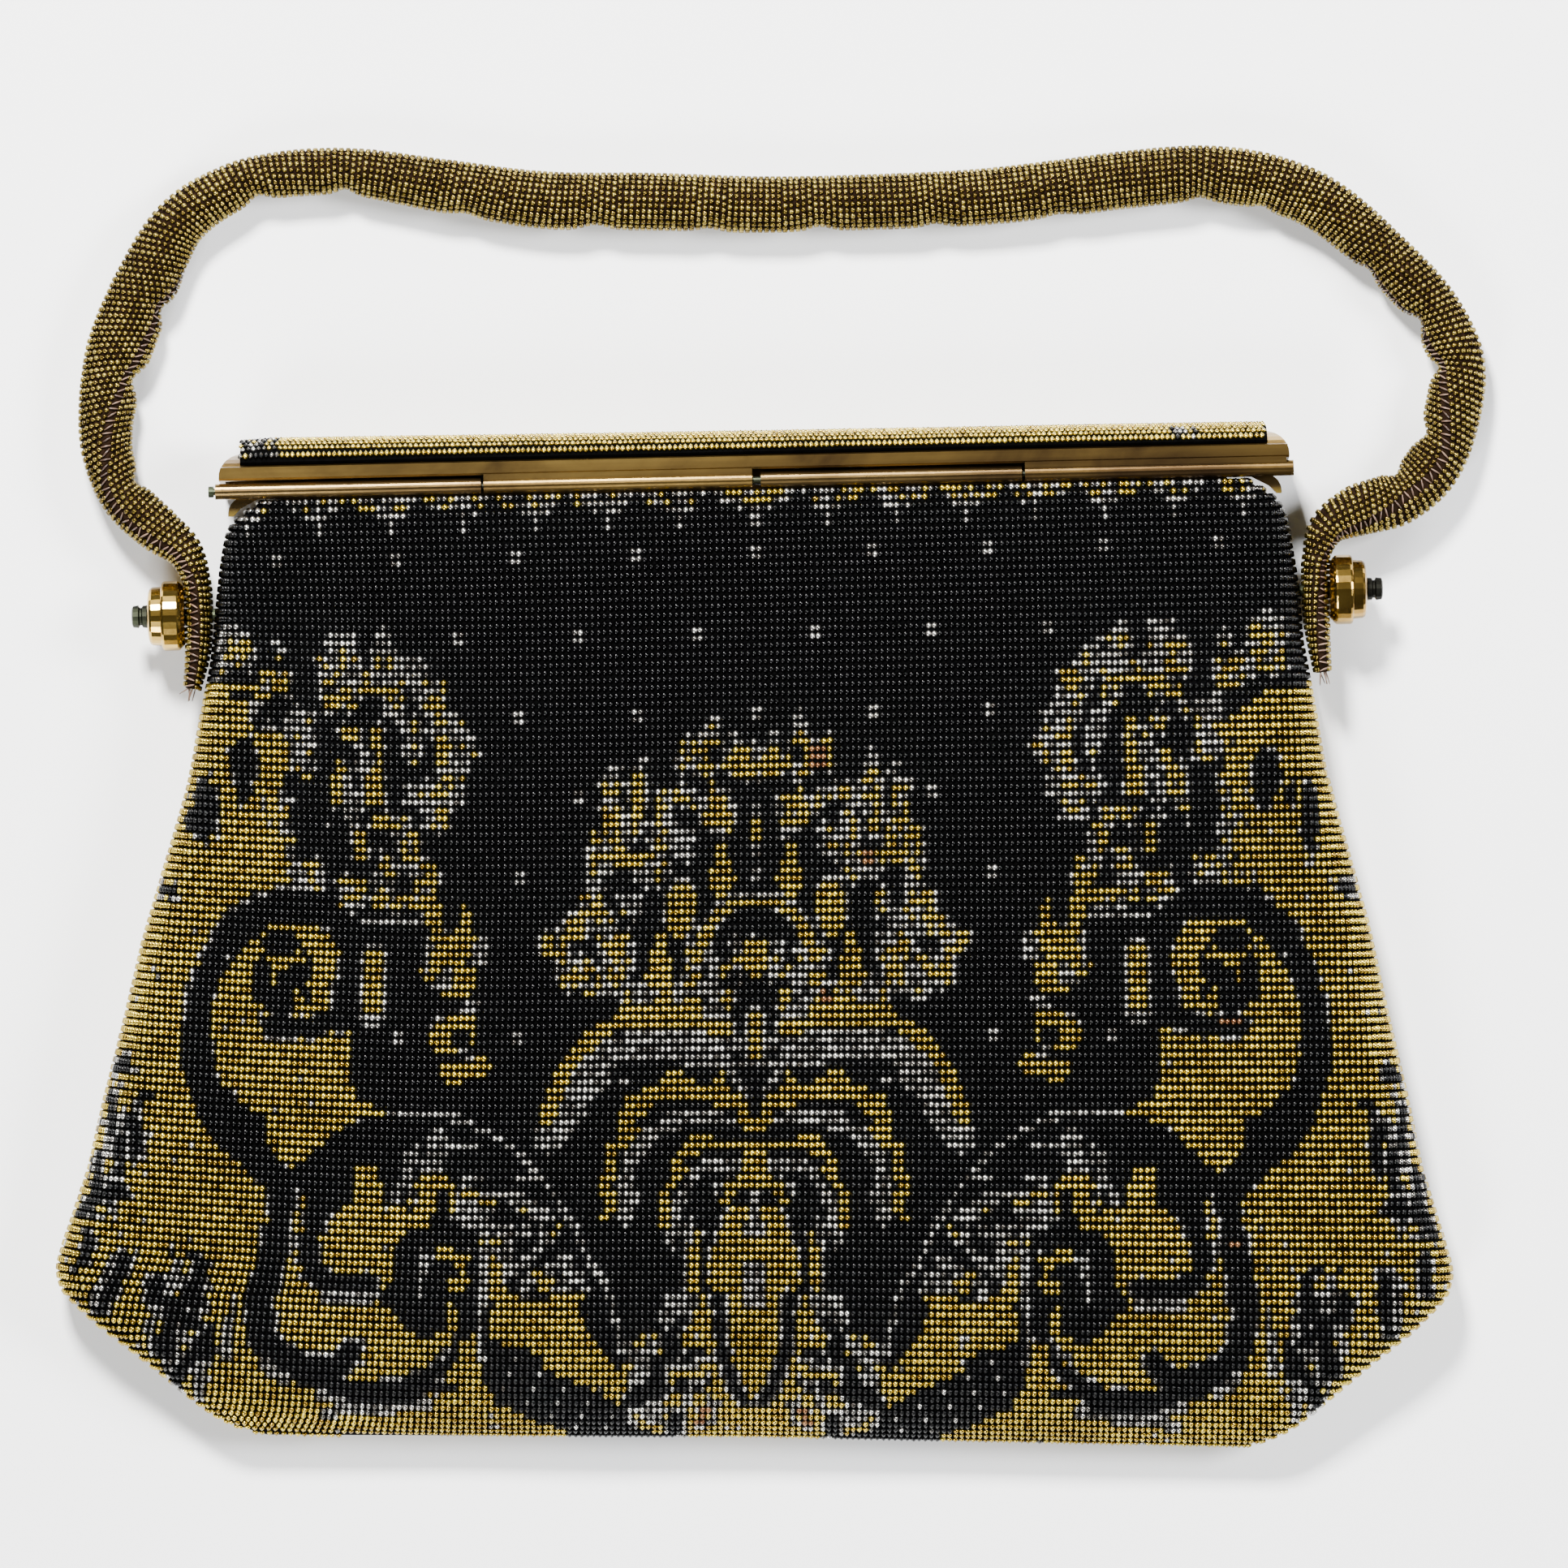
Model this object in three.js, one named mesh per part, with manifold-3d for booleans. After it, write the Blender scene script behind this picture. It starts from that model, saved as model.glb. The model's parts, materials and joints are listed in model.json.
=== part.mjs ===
// Beaded purse, lying on its back. Millimetres, +X across, +Y towards the lid, +Z up.
// The hinge axis is the line y = 0 while the pieces are made. The last lines centre the part.
import * as THREE from 'three';
import { mergeVertices } from 'three/addons/utils/BufferGeometryUtils.js';
import Module from 'manifold-3d';

const wasm = await Module();
wasm.setup();

// Bag of beaded cloth
const half_width = 125;
const bag_drop = 168.8;
const bag_depth = 22;
const cloth = 2;
const edge_round = 10;
const drift = 4;
const droop_left = 3.3;
const droop_right = 5.4;
const fold_depth = 1.8;
const fold_spread = 6.5;

// Fits
const gap = 0.3;
const loose = 0.5;
const mouth_clear = 2.6;

// Piano hinge
const rod_half = 95.7;
const rod_r = 1.4;
const pin_r = 0.6;
const pin_head_r = 1.0;
const pin_head = 0.9;
const rod_sink = 0.5;

// Frame of brass sheet
const sheet = 1;
const rail_tall = 5;
const arm_wide = 4;
const eye_r = 4;
const corner_out = 5.6;
const corner_drop = 2.7;
const corner_r = 3;

// Lid
const lid_half = 95;
const lid_rise = 6.9;
const lid_corner = 4.4;
const strip_low = 1.9;
const strip_tall = 2.3;
const strip_thick = 1.3;
const band_thick = 1.1;
const band_half = 91.2;

// Pivots, knobs and studs
const pivot_drop = 21.7;
const pivot_lift = 10;
const stud_r = 1.2;
const stud_head_r = 2.6;
const stud_head = 1.2;
const post_r = 2.05;
const post_long = 2.7;
const knob_r = 6.2;
const knob_long = 6.5;

// Handle, a soft tube
const handle_rise = 77;
const handle_half = 5;
const handle_tall = 4.8;

// Rows of the bag from the mouth to the bottom fold.
// down: share of bag_drop, wide: share of half_width
// front, mid, back: heights as shares of bag_depth
// edge: side rounding as a share of edge_round, crown: fall of the front towards the sides
const body_rows = [
  { down: 0.000, wide: 0.704, front: 0.818, mid: 0.432, back: 0.045, edge: 0.30, crown: 0.00 },
  { down: 0.0095, wide: 0.728, front: 0.826, mid: 0.432, back: 0.040, edge: 0.30, crown: 0.00 },
  { down: 0.021, wide: 0.748, front: 0.831, mid: 0.434, back: 0.032, edge: 0.30, crown: 0.00 },
  { down: 0.033, wide: 0.757, front: 0.833, mid: 0.437, back: 0.026, edge: 0.31, crown: 0.01 },
  { down: 0.070, wide: 0.766, front: 0.834, mid: 0.446, back: 0.012, edge: 0.34, crown: 0.03 },
  { down: 0.1185, wide: 0.774, front: 0.838, mid: 0.455, back: 0.003, edge: 0.40, crown: 0.06 },
  { down: 0.170, wide: 0.780, front: 0.850, mid: 0.450, back: 0.000, edge: 0.46, crown: 0.10 },
  { down: 0.225, wide: 0.795, front: 0.875, mid: 0.430, back: 0.000, edge: 0.52, crown: 0.14 },
  { down: 0.300, wide: 0.813, front: 0.910, mid: 0.405, back: 0.000, edge: 0.60, crown: 0.18 },
  { down: 0.380, wide: 0.844, front: 0.945, mid: 0.390, back: 0.000, edge: 0.66, crown: 0.22 },
  { down: 0.467, wide: 0.878, front: 0.975, mid: 0.378, back: 0.000, edge: 0.70, crown: 0.25 },
  { down: 0.550, wide: 0.903, front: 1.000, mid: 0.368, back: 0.000, edge: 0.72, crown: 0.27 },
  { down: 0.640, wide: 0.933, front: 0.995, mid: 0.358, back: 0.000, edge: 0.72, crown: 0.28 },
  { down: 0.710, wide: 0.953, front: 0.972, mid: 0.348, back: 0.000, edge: 0.72, crown: 0.28 },
  { down: 0.775, wide: 0.982, front: 0.932, mid: 0.335, back: 0.000, edge: 0.70, crown: 0.28 },
  { down: 0.818, wide: 1.000, front: 0.890, mid: 0.322, back: 0.000, edge: 0.70, crown: 0.28 },
  { down: 0.843, wide: 0.993, front: 0.860, mid: 0.314, back: 0.000, edge: 0.70, crown: 0.28 },
  { down: 0.880, wide: 0.942, front: 0.808, mid: 0.304, back: 0.000, edge: 0.70, crown: 0.26 },
  { down: 0.912, wide: 0.885, front: 0.752, mid: 0.295, back: 0.004, edge: 0.68, crown: 0.24 },
  { down: 0.942, wide: 0.836, front: 0.680, mid: 0.286, back: 0.016, edge: 0.62, crown: 0.20 },
  { down: 0.966, wide: 0.798, front: 0.595, mid: 0.278, back: 0.042, edge: 0.54, crown: 0.16 },
  { down: 0.985, wide: 0.762, front: 0.485, mid: 0.270, back: 0.098, edge: 0.40, crown: 0.10 },
  { down: 0.996, wide: 0.728, front: 0.375, mid: 0.265, back: 0.170, edge: 0.22, crown: 0.04 },
  { down: 1.000, wide: 0.700, front: 0.300, mid: 0.262, back: 0.224, edge: 0.10, crown: 0.00 },
];

// Rows of the lining face, as shares of bag_drop
const inner_downs = [0, 0.0095, 0.021, 0.033, 0.07, 0.1185, 0.225, 0.38, 0.55, 0.71, 0.818, 0.86, 0.9, 0.942, 0.985];

// Soft folds of the front.
// across: share of the half width there, from, to: shares of bag_drop
// deep: share of fold_depth, spread: share of fold_spread
const folds = [
  { across: -0.81, from: 0.00, to: 0.34, deep: 1.00, spread: 1.0 },
  { across: -0.92, from: 0.02, to: 0.40, deep: -0.35, spread: 0.9 },
  { across: 0.83, from: 0.06, to: 0.30, deep: 0.80, spread: 1.0 },
  { across: 0.93, from: 0.04, to: 0.36, deep: -0.30, spread: 0.9 },
  { across: -0.62, from: 0.72, to: 1.00, deep: 0.60, spread: 2.2 },
  { across: -0.30, from: 0.80, to: 1.00, deep: -0.40, spread: 2.4 },
  { across: 0.36, from: 0.78, to: 1.00, deep: 0.45, spread: 2.0 },
  { across: -0.90, from: 0.45, to: 0.80, deep: -0.45, spread: 1.6 },
];

// Route of the handle from its left end to its right end.
// across: share of the pivot's strap distance, up: share of handle_rise above the pivot
// wide, tall: half sizes as shares of handle_half and handle_tall
// lift: 0 lies on the table, 1 is at the pivot's height
const handle_route = [
  { across: -1.018, up: -0.170, wide: 0.34, tall: 0.85, lift: 1.00 },
  { across: -1.005, up: -0.085, wide: 0.43, tall: 1.00, lift: 1.00 },
  { across: -1.000, up: 0.000, wide: 0.44, tall: 1.04, lift: 1.00 },
  { across: -1.004, up: 0.084, wide: 0.45, tall: 1.02, lift: 0.98 },
  { across: -1.028, up: 0.152, wide: 0.68, tall: 1.00, lift: 0.90 },
  { across: -1.072, up: 0.200, wide: 0.86, tall: 0.98, lift: 0.74 },
  { across: -1.130, up: 0.275, wide: 0.90, tall: 0.96, lift: 0.42 },
  { across: -1.162, up: 0.374, wide: 0.92, tall: 0.96, lift: 0.18 },
  { across: -1.165, up: 0.458, wide: 1.00, tall: 0.98, lift: 0.06 },
  { across: -1.140, up: 0.614, wide: 1.20, tall: 1.04, lift: 0.00 },
  { across: -1.093, up: 0.755, wide: 1.20, tall: 1.04, lift: 0.00 },
  { across: -1.025, up: 0.912, wide: 0.98, tall: 1.00, lift: 0.00 },
  { across: -0.936, up: 0.988, wide: 0.88, tall: 0.96, lift: 0.00 },
  { across: -0.861, up: 1.016, wide: 0.84, tall: 0.94, lift: 0.00 },
  { across: -0.723, up: 1.023, wide: 0.86, tall: 0.94, lift: 0.00 },
  { across: -0.536, up: 0.982, wide: 0.98, tall: 0.98, lift: 0.00 },
  { across: -0.369, up: 0.947, wide: 1.04, tall: 1.00, lift: 0.00 },
  { across: -0.180, up: 0.938, wide: 1.04, tall: 1.00, lift: 0.00 },
  { across: 0.026, up: 0.925, wide: 1.02, tall: 1.00, lift: 0.00 },
  { across: 0.186, up: 0.925, wide: 1.00, tall: 1.00, lift: 0.00 },
  { across: 0.403, up: 0.930, wide: 1.02, tall: 1.00, lift: 0.00 },
  { across: 0.549, up: 0.945, wide: 1.04, tall: 1.00, lift: 0.00 },
  { across: 0.694, up: 0.965, wide: 1.04, tall: 1.00, lift: 0.00 },
  { across: 0.829, up: 0.972, wide: 1.04, tall: 1.00, lift: 0.00 },
  { across: 0.940, up: 0.948, wide: 1.04, tall: 1.00, lift: 0.00 },
  { across: 1.030, up: 0.899, wide: 1.02, tall: 1.00, lift: 0.00 },
  { across: 1.134, up: 0.784, wide: 0.98, tall: 1.00, lift: 0.00 },
  { across: 1.229, up: 0.644, wide: 1.00, tall: 1.00, lift: 0.00 },
  { across: 1.269, up: 0.522, wide: 1.02, tall: 1.00, lift: 0.00 },
  { across: 1.257, up: 0.397, wide: 1.04, tall: 1.00, lift: 0.05 },
  { across: 1.218, up: 0.278, wide: 1.04, tall: 0.98, lift: 0.18 },
  { across: 1.154, up: 0.210, wide: 1.02, tall: 0.98, lift: 0.42 },
  { across: 1.080, up: 0.182, wide: 0.94, tall: 1.00, lift: 0.74 },
  { across: 1.028, up: 0.146, wide: 0.70, tall: 1.00, lift: 0.90 },
  { across: 1.004, up: 0.084, wide: 0.45, tall: 1.02, lift: 0.98 },
  { across: 1.000, up: 0.000, wide: 0.44, tall: 1.04, lift: 1.00 },
  { across: 1.003, up: -0.085, wide: 0.43, tall: 1.00, lift: 1.00 },
  { across: 1.012, up: -0.190, wide: 0.34, tall: 0.85, lift: 1.00 },
];

// Knuckles of the hinge as shares of rod_half, on: the piece that carries them
const knuckles = [
  { from: -1.000, to: -0.507, on: 'frame' },
  { from: -0.502, to: -0.004, on: 'lid' },
  { from: 0.012, to: 0.496, on: 'frame' },
  { from: 0.502, to: 1.000, on: 'lid' },
];

// Turned outline of a knob from the handle outwards.
// out: share of knob_long, wide: share of knob_r
const knob_profile = [
  { out: 0.00, wide: 0.80 },
  { out: 0.10, wide: 0.93 },
  { out: 0.16, wide: 0.99 },
  { out: 0.20, wide: 1.00 },
  { out: 0.56, wide: 1.00 },
  { out: 0.61, wide: 0.975 },
  { out: 0.635, wide: 0.93 },
  { out: 0.645, wide: 0.85 },
  { out: 0.90, wide: 0.83 },
  { out: 0.96, wide: 0.79 },
  { out: 1.00, wide: 0.70 },
];

// Arch of the lid seen from its end.
// up: share of lid_rise above the strip's top, back: share of the way from the strip to the back
const arch = [
  { up: 0.08, back: 0.00 },
  { up: 0.30, back: 0.045 },
  { up: 0.55, back: 0.13 },
  { up: 0.80, back: 0.26 },
  { up: 0.95, back: 0.40 },
  { up: 1.00, back: 0.53 },
  { up: 0.96, back: 0.66 },
  { up: 0.82, back: 0.79 },
  { up: 0.55, back: 0.90 },
  { up: 0.15, back: 0.965 },
  { up: -0.45, back: 0.995 },
  { up: -1.45, back: 1.00 },
];

const rim = body_rows[0];
const rim_drop = rod_r + gap;
const rim_front = rim.front * bag_depth;
const rim_back = rim.back * bag_depth;
const hinge_z = rim_front - rod_sink;
const bore_r = pin_r + gap;
const hole_r = stud_r + gap;
const pivot_y = -pivot_drop;

function blend_rows(list, down) {
  const last = list.length - 1;
  let i = 0;
  while (i < last - 1 && list[i + 1].down < down) i += 1;
  const a = list[i];
  const b = list[i + 1];
  const t = Math.min(1, Math.max(0, (down - a.down) / (b.down - a.down)));
  const row = {};
  for (const key of Object.keys(a)) row[key] = a[key] + (b[key] - a[key]) * t;
  return row;
}

function slope_at(key, down) {
  const step = 0.006;
  const low = blend_rows(body_rows, Math.min(1, down + step))[key];
  const high = blend_rows(body_rows, Math.max(0, down - step))[key];
  return (low - high) / (2 * step * bag_drop);
}

function side_half(y) {
  const down = (-y - rim_drop) / bag_drop;
  return blend_rows(body_rows, down).wide * half_width;
}

function fold_at(across, down, half) {
  let sum = 0;
  for (const f of folds) {
    const middle = (f.from + f.to) / 2;
    const reach = (f.to - f.from) / 2;
    const along = Math.max(0, 1 - ((down - middle) / reach) ** 2);
    const off = ((across - f.across) * half) / (f.spread * fold_spread);
    sum += fold_depth * f.deep * along * Math.exp(-off * off);
  }
  return sum;
}

// The cloth hangs a little to the left below the pivots, and lower on the right
const pivot_down = (pivot_drop - rim_drop) / bag_drop;

function sag(x, down) {
  const below = Math.max(0, (down - pivot_down) / (1 - pivot_down));
  const droop = x > 0 ? droop_right : droop_left;
  return [x - drift * below, -rim_drop - down * bag_drop - (droop * down ** 1.5 * x) / half_width];
}

// One ring of the bag at a height, inset by a wall
const across_count = 26;

function ring(down, wall) {
  const row = blend_rows(body_rows, down);
  const side_wall = wall * Math.hypot(1, slope_at('wide', down) * half_width);
  const half = row.wide * half_width - side_wall;
  const mid = row.mid * bag_depth;
  const steep = Math.hypot(1, slope_at('front', down) * bag_depth);
  const front = row.front * bag_depth - mid - wall * steep;
  const back = mid - row.back * bag_depth - wall;
  const edge = Math.max(row.edge * edge_round - wall, 0.8);
  const points = [];
  for (let k = 0; k < 2 * across_count; k += 1) {
    const top = k < across_count;
    const step = top ? k : 2 * across_count - k;
    const s = Math.sin((step / across_count - 0.5) * Math.PI);
    const inset = Math.min(1, (half * (1 - Math.abs(s))) / edge);
    const round = Math.sqrt(Math.max(0, 1 - (1 - inset) ** 2));
    const fall = 1 - row.crown * Math.abs(s) ** 3;
    const fold = fold_at(s, down, half) * round;
    const z = top ? mid + front * round * fall - fold : mid - back * round;
    const spot = sag(s * half, down);
    points.push([spot[0], spot[1], z]);
  }
  return points;
}

// Closed surface through rings of equal length, with a strip over each end
function loft(rings, first_cap, last_cap) {
  const n = rings[0].length;
  const position = [];
  const index = [];
  for (const r of rings) for (const p of r) position.push(p[0], p[1], p[2]);
  for (let i = 0; i + 1 < rings.length; i += 1) {
    for (let k = 0; k < n; k += 1) {
      const a = i * n + k;
      const b = i * n + ((k + 1) % n);
      index.push(a, a + n, b, b, a + n, b + n);
    }
  }
  function cap(start, flip) {
    for (let k = 0; k < n / 2; k += 1) {
      const a = start + k;
      const b = start + k + 1;
      const c = start + ((n - k) % n);
      const d = start + n - k - 1;
      const tris = [[a, b, d], [a, d, c]];
      for (const t of tris) {
        if (new Set(t).size < 3) continue;
        if (flip) index.push(t[0], t[2], t[1]);
        else index.push(t[0], t[1], t[2]);
      }
    }
  }
  if (first_cap) cap(0, false);
  if (last_cap) cap((rings.length - 1) * n, true);
  const geometry = new THREE.BufferGeometry();
  geometry.setAttribute('position', new THREE.Float32BufferAttribute(position, 3));
  geometry.setIndex(index);
  return geometry;
}

function solid(geometry) {
  const bare = geometry.clone();
  bare.deleteAttribute('normal');
  bare.deleteAttribute('uv');
  const merged = mergeVertices(bare, 1e-4);
  const mesh = new wasm.Mesh({
    numProp: 3,
    vertProperties: new Float32Array(merged.attributes.position.array),
    triVerts: new Uint32Array(merged.index.array),
  });
  mesh.merge();
  return new wasm.Manifold(mesh);
}

function outward(geometry) {
  const made = solid(geometry);
  if (made.volume() > 0) return made;
  const index = geometry.index.array;
  for (let i = 0; i < index.length; i += 3) {
    const keep = index[i];
    index[i] = index[i + 1];
    index[i + 1] = keep;
  }
  return solid(geometry);
}

function surface(made) {
  const mesh = made.getMesh();
  const geometry = new THREE.BufferGeometry();
  const position = new Float32Array(mesh.vertProperties);
  geometry.setAttribute('position', new THREE.BufferAttribute(position, 3));
  geometry.setIndex(new THREE.BufferAttribute(new Uint32Array(mesh.triVerts), 1));
  geometry.computeVertexNormals();
  return geometry;
}

function join(list) {
  return list.reduce((sum, next) => sum.add(next));
}

// Block between two corners
function block(x0, x1, y0, y1, z0, z1) {
  const box = new THREE.BoxGeometry(x1 - x0, y1 - y0, z1 - z0);
  box.translate((x0 + x1) / 2, (y0 + y1) / 2, (z0 + z1) / 2);
  return solid(box);
}

// Round bar along X
function bar(r, x0, x1, y, z, sides) {
  const rod = new THREE.CylinderGeometry(r, r, x1 - x0, sides);
  rod.rotateZ(-Math.PI / 2);
  rod.translate((x0 + x1) / 2, y, z);
  return solid(rod);
}

// Outline in X and Y, raised from z0 to z1
function plate(points, z0, z1) {
  const outline = new THREE.Shape(points.map((p) => new THREE.Vector2(p[0], p[1])));
  const made = new THREE.ExtrudeGeometry(outline, { depth: z1 - z0, bevelEnabled: false });
  made.translate(0, 0, z0);
  return solid(made);
}

// Outline in Y and Z, carried from x0 to x1
function section(points, x0, x1) {
  const outline = new THREE.Shape(points.map((p) => new THREE.Vector2(p[0], p[1])));
  const made = new THREE.ExtrudeGeometry(outline, { depth: x1 - x0, bevelEnabled: false });
  const turn = new THREE.Matrix4().set(0, 0, 1, x0, 1, 0, 0, 0, 0, 1, 0, 0, 0, 0, 0, 1);
  made.applyMatrix4(turn);
  return solid(made);
}

// Turned piece around X. Points are [distance along the axis, radius]
function turned(points, x0, side, y, z, sides) {
  const outline = points.map((p) => new THREE.Vector2(p[1], p[0]));
  const made = new THREE.LatheGeometry(outline, sides);
  made.rotateZ(-Math.PI / 2);
  made.translate(x0, 0, 0);
  if (side < 0) made.rotateY(Math.PI);
  made.translate(0, y, z);
  return made;
}

function mirrored(points) {
  const other = points.map((p) => [-p[0], p[1]]).reverse();
  return points.concat(other);
}

// Bag
const outer_rings = body_rows.map((row) => ring(row.down, 0));
const inner_rings = inner_downs.map((down) => ring(down, cloth)).reverse();
const bag_rings = inner_rings.concat(outer_rings);
let bag = outward(loft(bag_rings, true, true));
const side_x = side_half(pivot_y);
const hole_from = side_x - edge_round;
const hole_to = side_x + edge_round;
bag = bag.subtract(bar(hole_r, hole_from, hole_to, pivot_y, pivot_lift, 20));
bag = bag.subtract(bar(hole_r, -hole_to, -hole_from, pivot_y, pivot_lift, 20));

// Places of the frame inside the mouth
const lining_top = side_half(-rim_drop) - cloth;
const shoulder_y = -rim_drop - 0.045 * bag_drop;
const arm_x = side_half(shoulder_y) - cloth - 5 * gap;
const rail_top = -rim_drop + 2 * gap + 0.2;
const arm_low = pivot_y - eye_r;
const front_out = rim_front - cloth - gap;
const back_out = rim_back + cloth + gap;
const eye_gap = sheet + gap;

// Outline of a frame half seen from the front, arms at arm
function frame_outline(arm) {
  const top = lining_top - mouth_clear;
  return mirrored([
    [arm, arm_low + eye_r * 0.35],
    [arm, shoulder_y],
    [top + 0.3 * (arm - top), -rim_drop - 0.012 * bag_drop],
    [top, rail_top],
  ]).concat(mirrored([
    [-(arm - arm_wide), arm_low + eye_r * 0.35],
    [-(arm - arm_wide), shoulder_y - rail_tall],
    [-(top - rail_tall), rail_top - rail_tall],
  ]));
}

function hinge_side(on) {
  return knuckles.filter((k) => k.on === on).map((k) => [k.from * rod_half, k.to * rod_half]);
}

function frame_half(arm, outer_z, inner_z, into) {
  const plate_z = [outer_z, outer_z + into * sheet].sort((a, b) => a - b);
  const strip_z = [outer_z, inner_z].sort((a, b) => a - b);
  const parts = [plate(frame_outline(arm), plate_z[0], plate_z[1])];
  for (const side of [-1, 1]) {
    const near = side * (arm - sheet);
    const far = side * arm;
    const x = [near, far].sort((a, b) => a - b);
    parts.push(block(x[0], x[1], arm_low, shoulder_y, strip_z[0], strip_z[1]));
    parts.push(bar(eye_r, x[0], x[1], pivot_y, pivot_lift, 28));
  }
  let half = join(parts);
  for (const side of [-1, 1]) {
    const x = [side * (arm - 2 * sheet), side * (arm + sheet)].sort((a, b) => a - b);
    half = half.subtract(bar(hole_r, x[0], x[1], pivot_y, pivot_lift, 20));
  }
  return half;
}

// Front frame with its hinge knuckles and gilt corners
let front = frame_half(arm_x, front_out, pivot_lift + loose, -1);
const neck_low = -rim_drop + gap;
const rim_x = side_half(-rim_drop);
const corner_x = rim_x + corner_out;
const corner_y = -rim_drop - corner_drop;
const corner = [
  [lining_top - rail_tall, rail_top],
  [lining_top - rail_tall, neck_low],
  [rim_x + gap, neck_low],
  [side_half(-rim_drop - 0.0095 * bag_drop) + gap + 0.05, -rim_drop - 0.0095 * bag_drop + gap],
  [side_half(corner_y) + gap, corner_y],
  [corner_x, corner_y],
];
for (let k = 0; k <= 5; k += 1) {
  const a = (k / 5) * (Math.PI / 2);
  const x = corner_x - corner_r + corner_r * Math.cos(a);
  corner.push([x, rail_top - corner_r + corner_r * Math.sin(a)]);
}
const corner_z = [front_out - sheet, front_out];
for (const side of [-1, 1]) {
  const points = corner.map((p) => [side * p[0], p[1]]);
  if (side > 0) points.reverse();
  front = front.add(plate(points, corner_z[0], corner_z[1]));
}
for (const [x0, x1] of hinge_side('frame')) {
  const reach = Math.min(Math.abs(x0), lining_top - 2 * gap);
  const web_from = x0 < -reach ? -reach : x0;
  front = front.add(block(web_from, x1, neck_low, rod_r * 0.6, corner_z[0], hinge_z));
  front = front.add(bar(rod_r, x0, x1, 0, hinge_z, 24));
}
front = front.subtract(bar(bore_r, -2 * rod_half, 2 * rod_half, 0, hinge_z, 16));

// Back frame, its arms stand inside the front frame's arms
const back = frame_half(arm_x - eye_gap, back_out, pivot_lift - loose, 1);

// Lid
const strip_front = hinge_z + rod_r - gap;
const strip_top = strip_low + strip_tall;
const arch_front = strip_front - strip_thick;
const arch_back = band_thick + gap + 0.5;
const top_step = lid_rise - strip_top;

function arch_line(grow) {
  const line = arch.map((p) => [strip_top + p.up * top_step, arch_front + (arch_back - arch_front) * p.back]);
  return line.map((p, i) => {
    const a = line[Math.max(0, i - 1)];
    const b = line[Math.min(line.length - 1, i + 1)];
    const long = Math.hypot(b[0] - a[0], b[1] - a[1]);
    return [p[0] - (grow * (b[1] - a[1])) / long, p[1] + (grow * (b[0] - a[0])) / long];
  });
}

function rounded_top(half, top, r) {
  const points = [];
  for (let k = 0; k <= 8; k += 1) {
    const a = (k / 8) * (Math.PI / 2);
    points.push([half - r + r * Math.cos(a), top - r + r * Math.sin(a)]);
  }
  return mirrored([[half, -half]].concat(points));
}

const arch_outer = arch_line(0);
const arch_inner = arch_line(-sheet);
const arch_end = arch_outer[arch_outer.length - 1][0];
const lid_filled = [
  [strip_low, arch_front],
  [strip_low, strip_front - 0.35],
  [strip_low + 0.35, strip_front],
  [strip_top, strip_front],
].concat(arch_outer);
const lid_hollow = [[strip_low - lid_half, arch_front - sheet]]
  .concat([[strip_top - sheet, arch_front - sheet]])
  .concat(arch_inner.slice(1))
  .concat([[strip_low - lid_half, arch_back + sheet]]);
const lid_front = rounded_top(lid_half, lid_rise + 0.02, lid_corner);
const lid_room = rounded_top(lid_half - sheet, lid_rise - sheet, lid_corner - sheet);
let lid = section(lid_filled, -lid_half, lid_half);
lid = lid.intersect(plate(lid_front, -lid_half, lid_half));
let room = section(lid_hollow, -lid_half + sheet, lid_half - sheet);
room = room.intersect(plate(lid_room, -lid_half, lid_half));
lid = lid.subtract(room);
for (const [x0, x1] of hinge_side('frame')) {
  const ends = [x0 - gap, x1 + gap];
  lid = lid.subtract(bar(rod_r + loose, ends[0], ends[1], 0, hinge_z, 24));
}
for (const [x0, x1] of hinge_side('lid')) {
  const end = Math.min(x1, lid_half - 0.5);
  lid = lid.add(block(x0, end, 0, strip_low + 0.6, hinge_z, strip_front - 0.2));
  lid = lid.add(bar(rod_r, x0, x1, 0, hinge_z, 24));
}
lid = lid.subtract(bar(bore_r, -2 * rod_half, 2 * rod_half, 0, hinge_z, 16));

// Beaded band over the lid
const band_inner = arch_line(gap);
const band_outer = arch_line(gap + band_thick);
band_outer[0] = [strip_top + gap + 0.1, strip_front - 0.4];
band_inner[0] = [strip_top + gap + 0.1, arch_front + gap];
const band = section(band_outer.concat(band_inner.reverse()), -band_half, band_half);

// Hinge pin
const pin = join([
  bar(pin_r, -rod_half - gap - pin_head, rod_half - 1, 0, hinge_z, 12),
  bar(pin_head_r, -rod_half - gap - pin_head, -rod_half - gap, 0, hinge_z, 16),
]);

// Handle
const strap_half = handle_half * 0.44;
const strap_x = side_half(pivot_y) + gap + strap_half;

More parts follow.
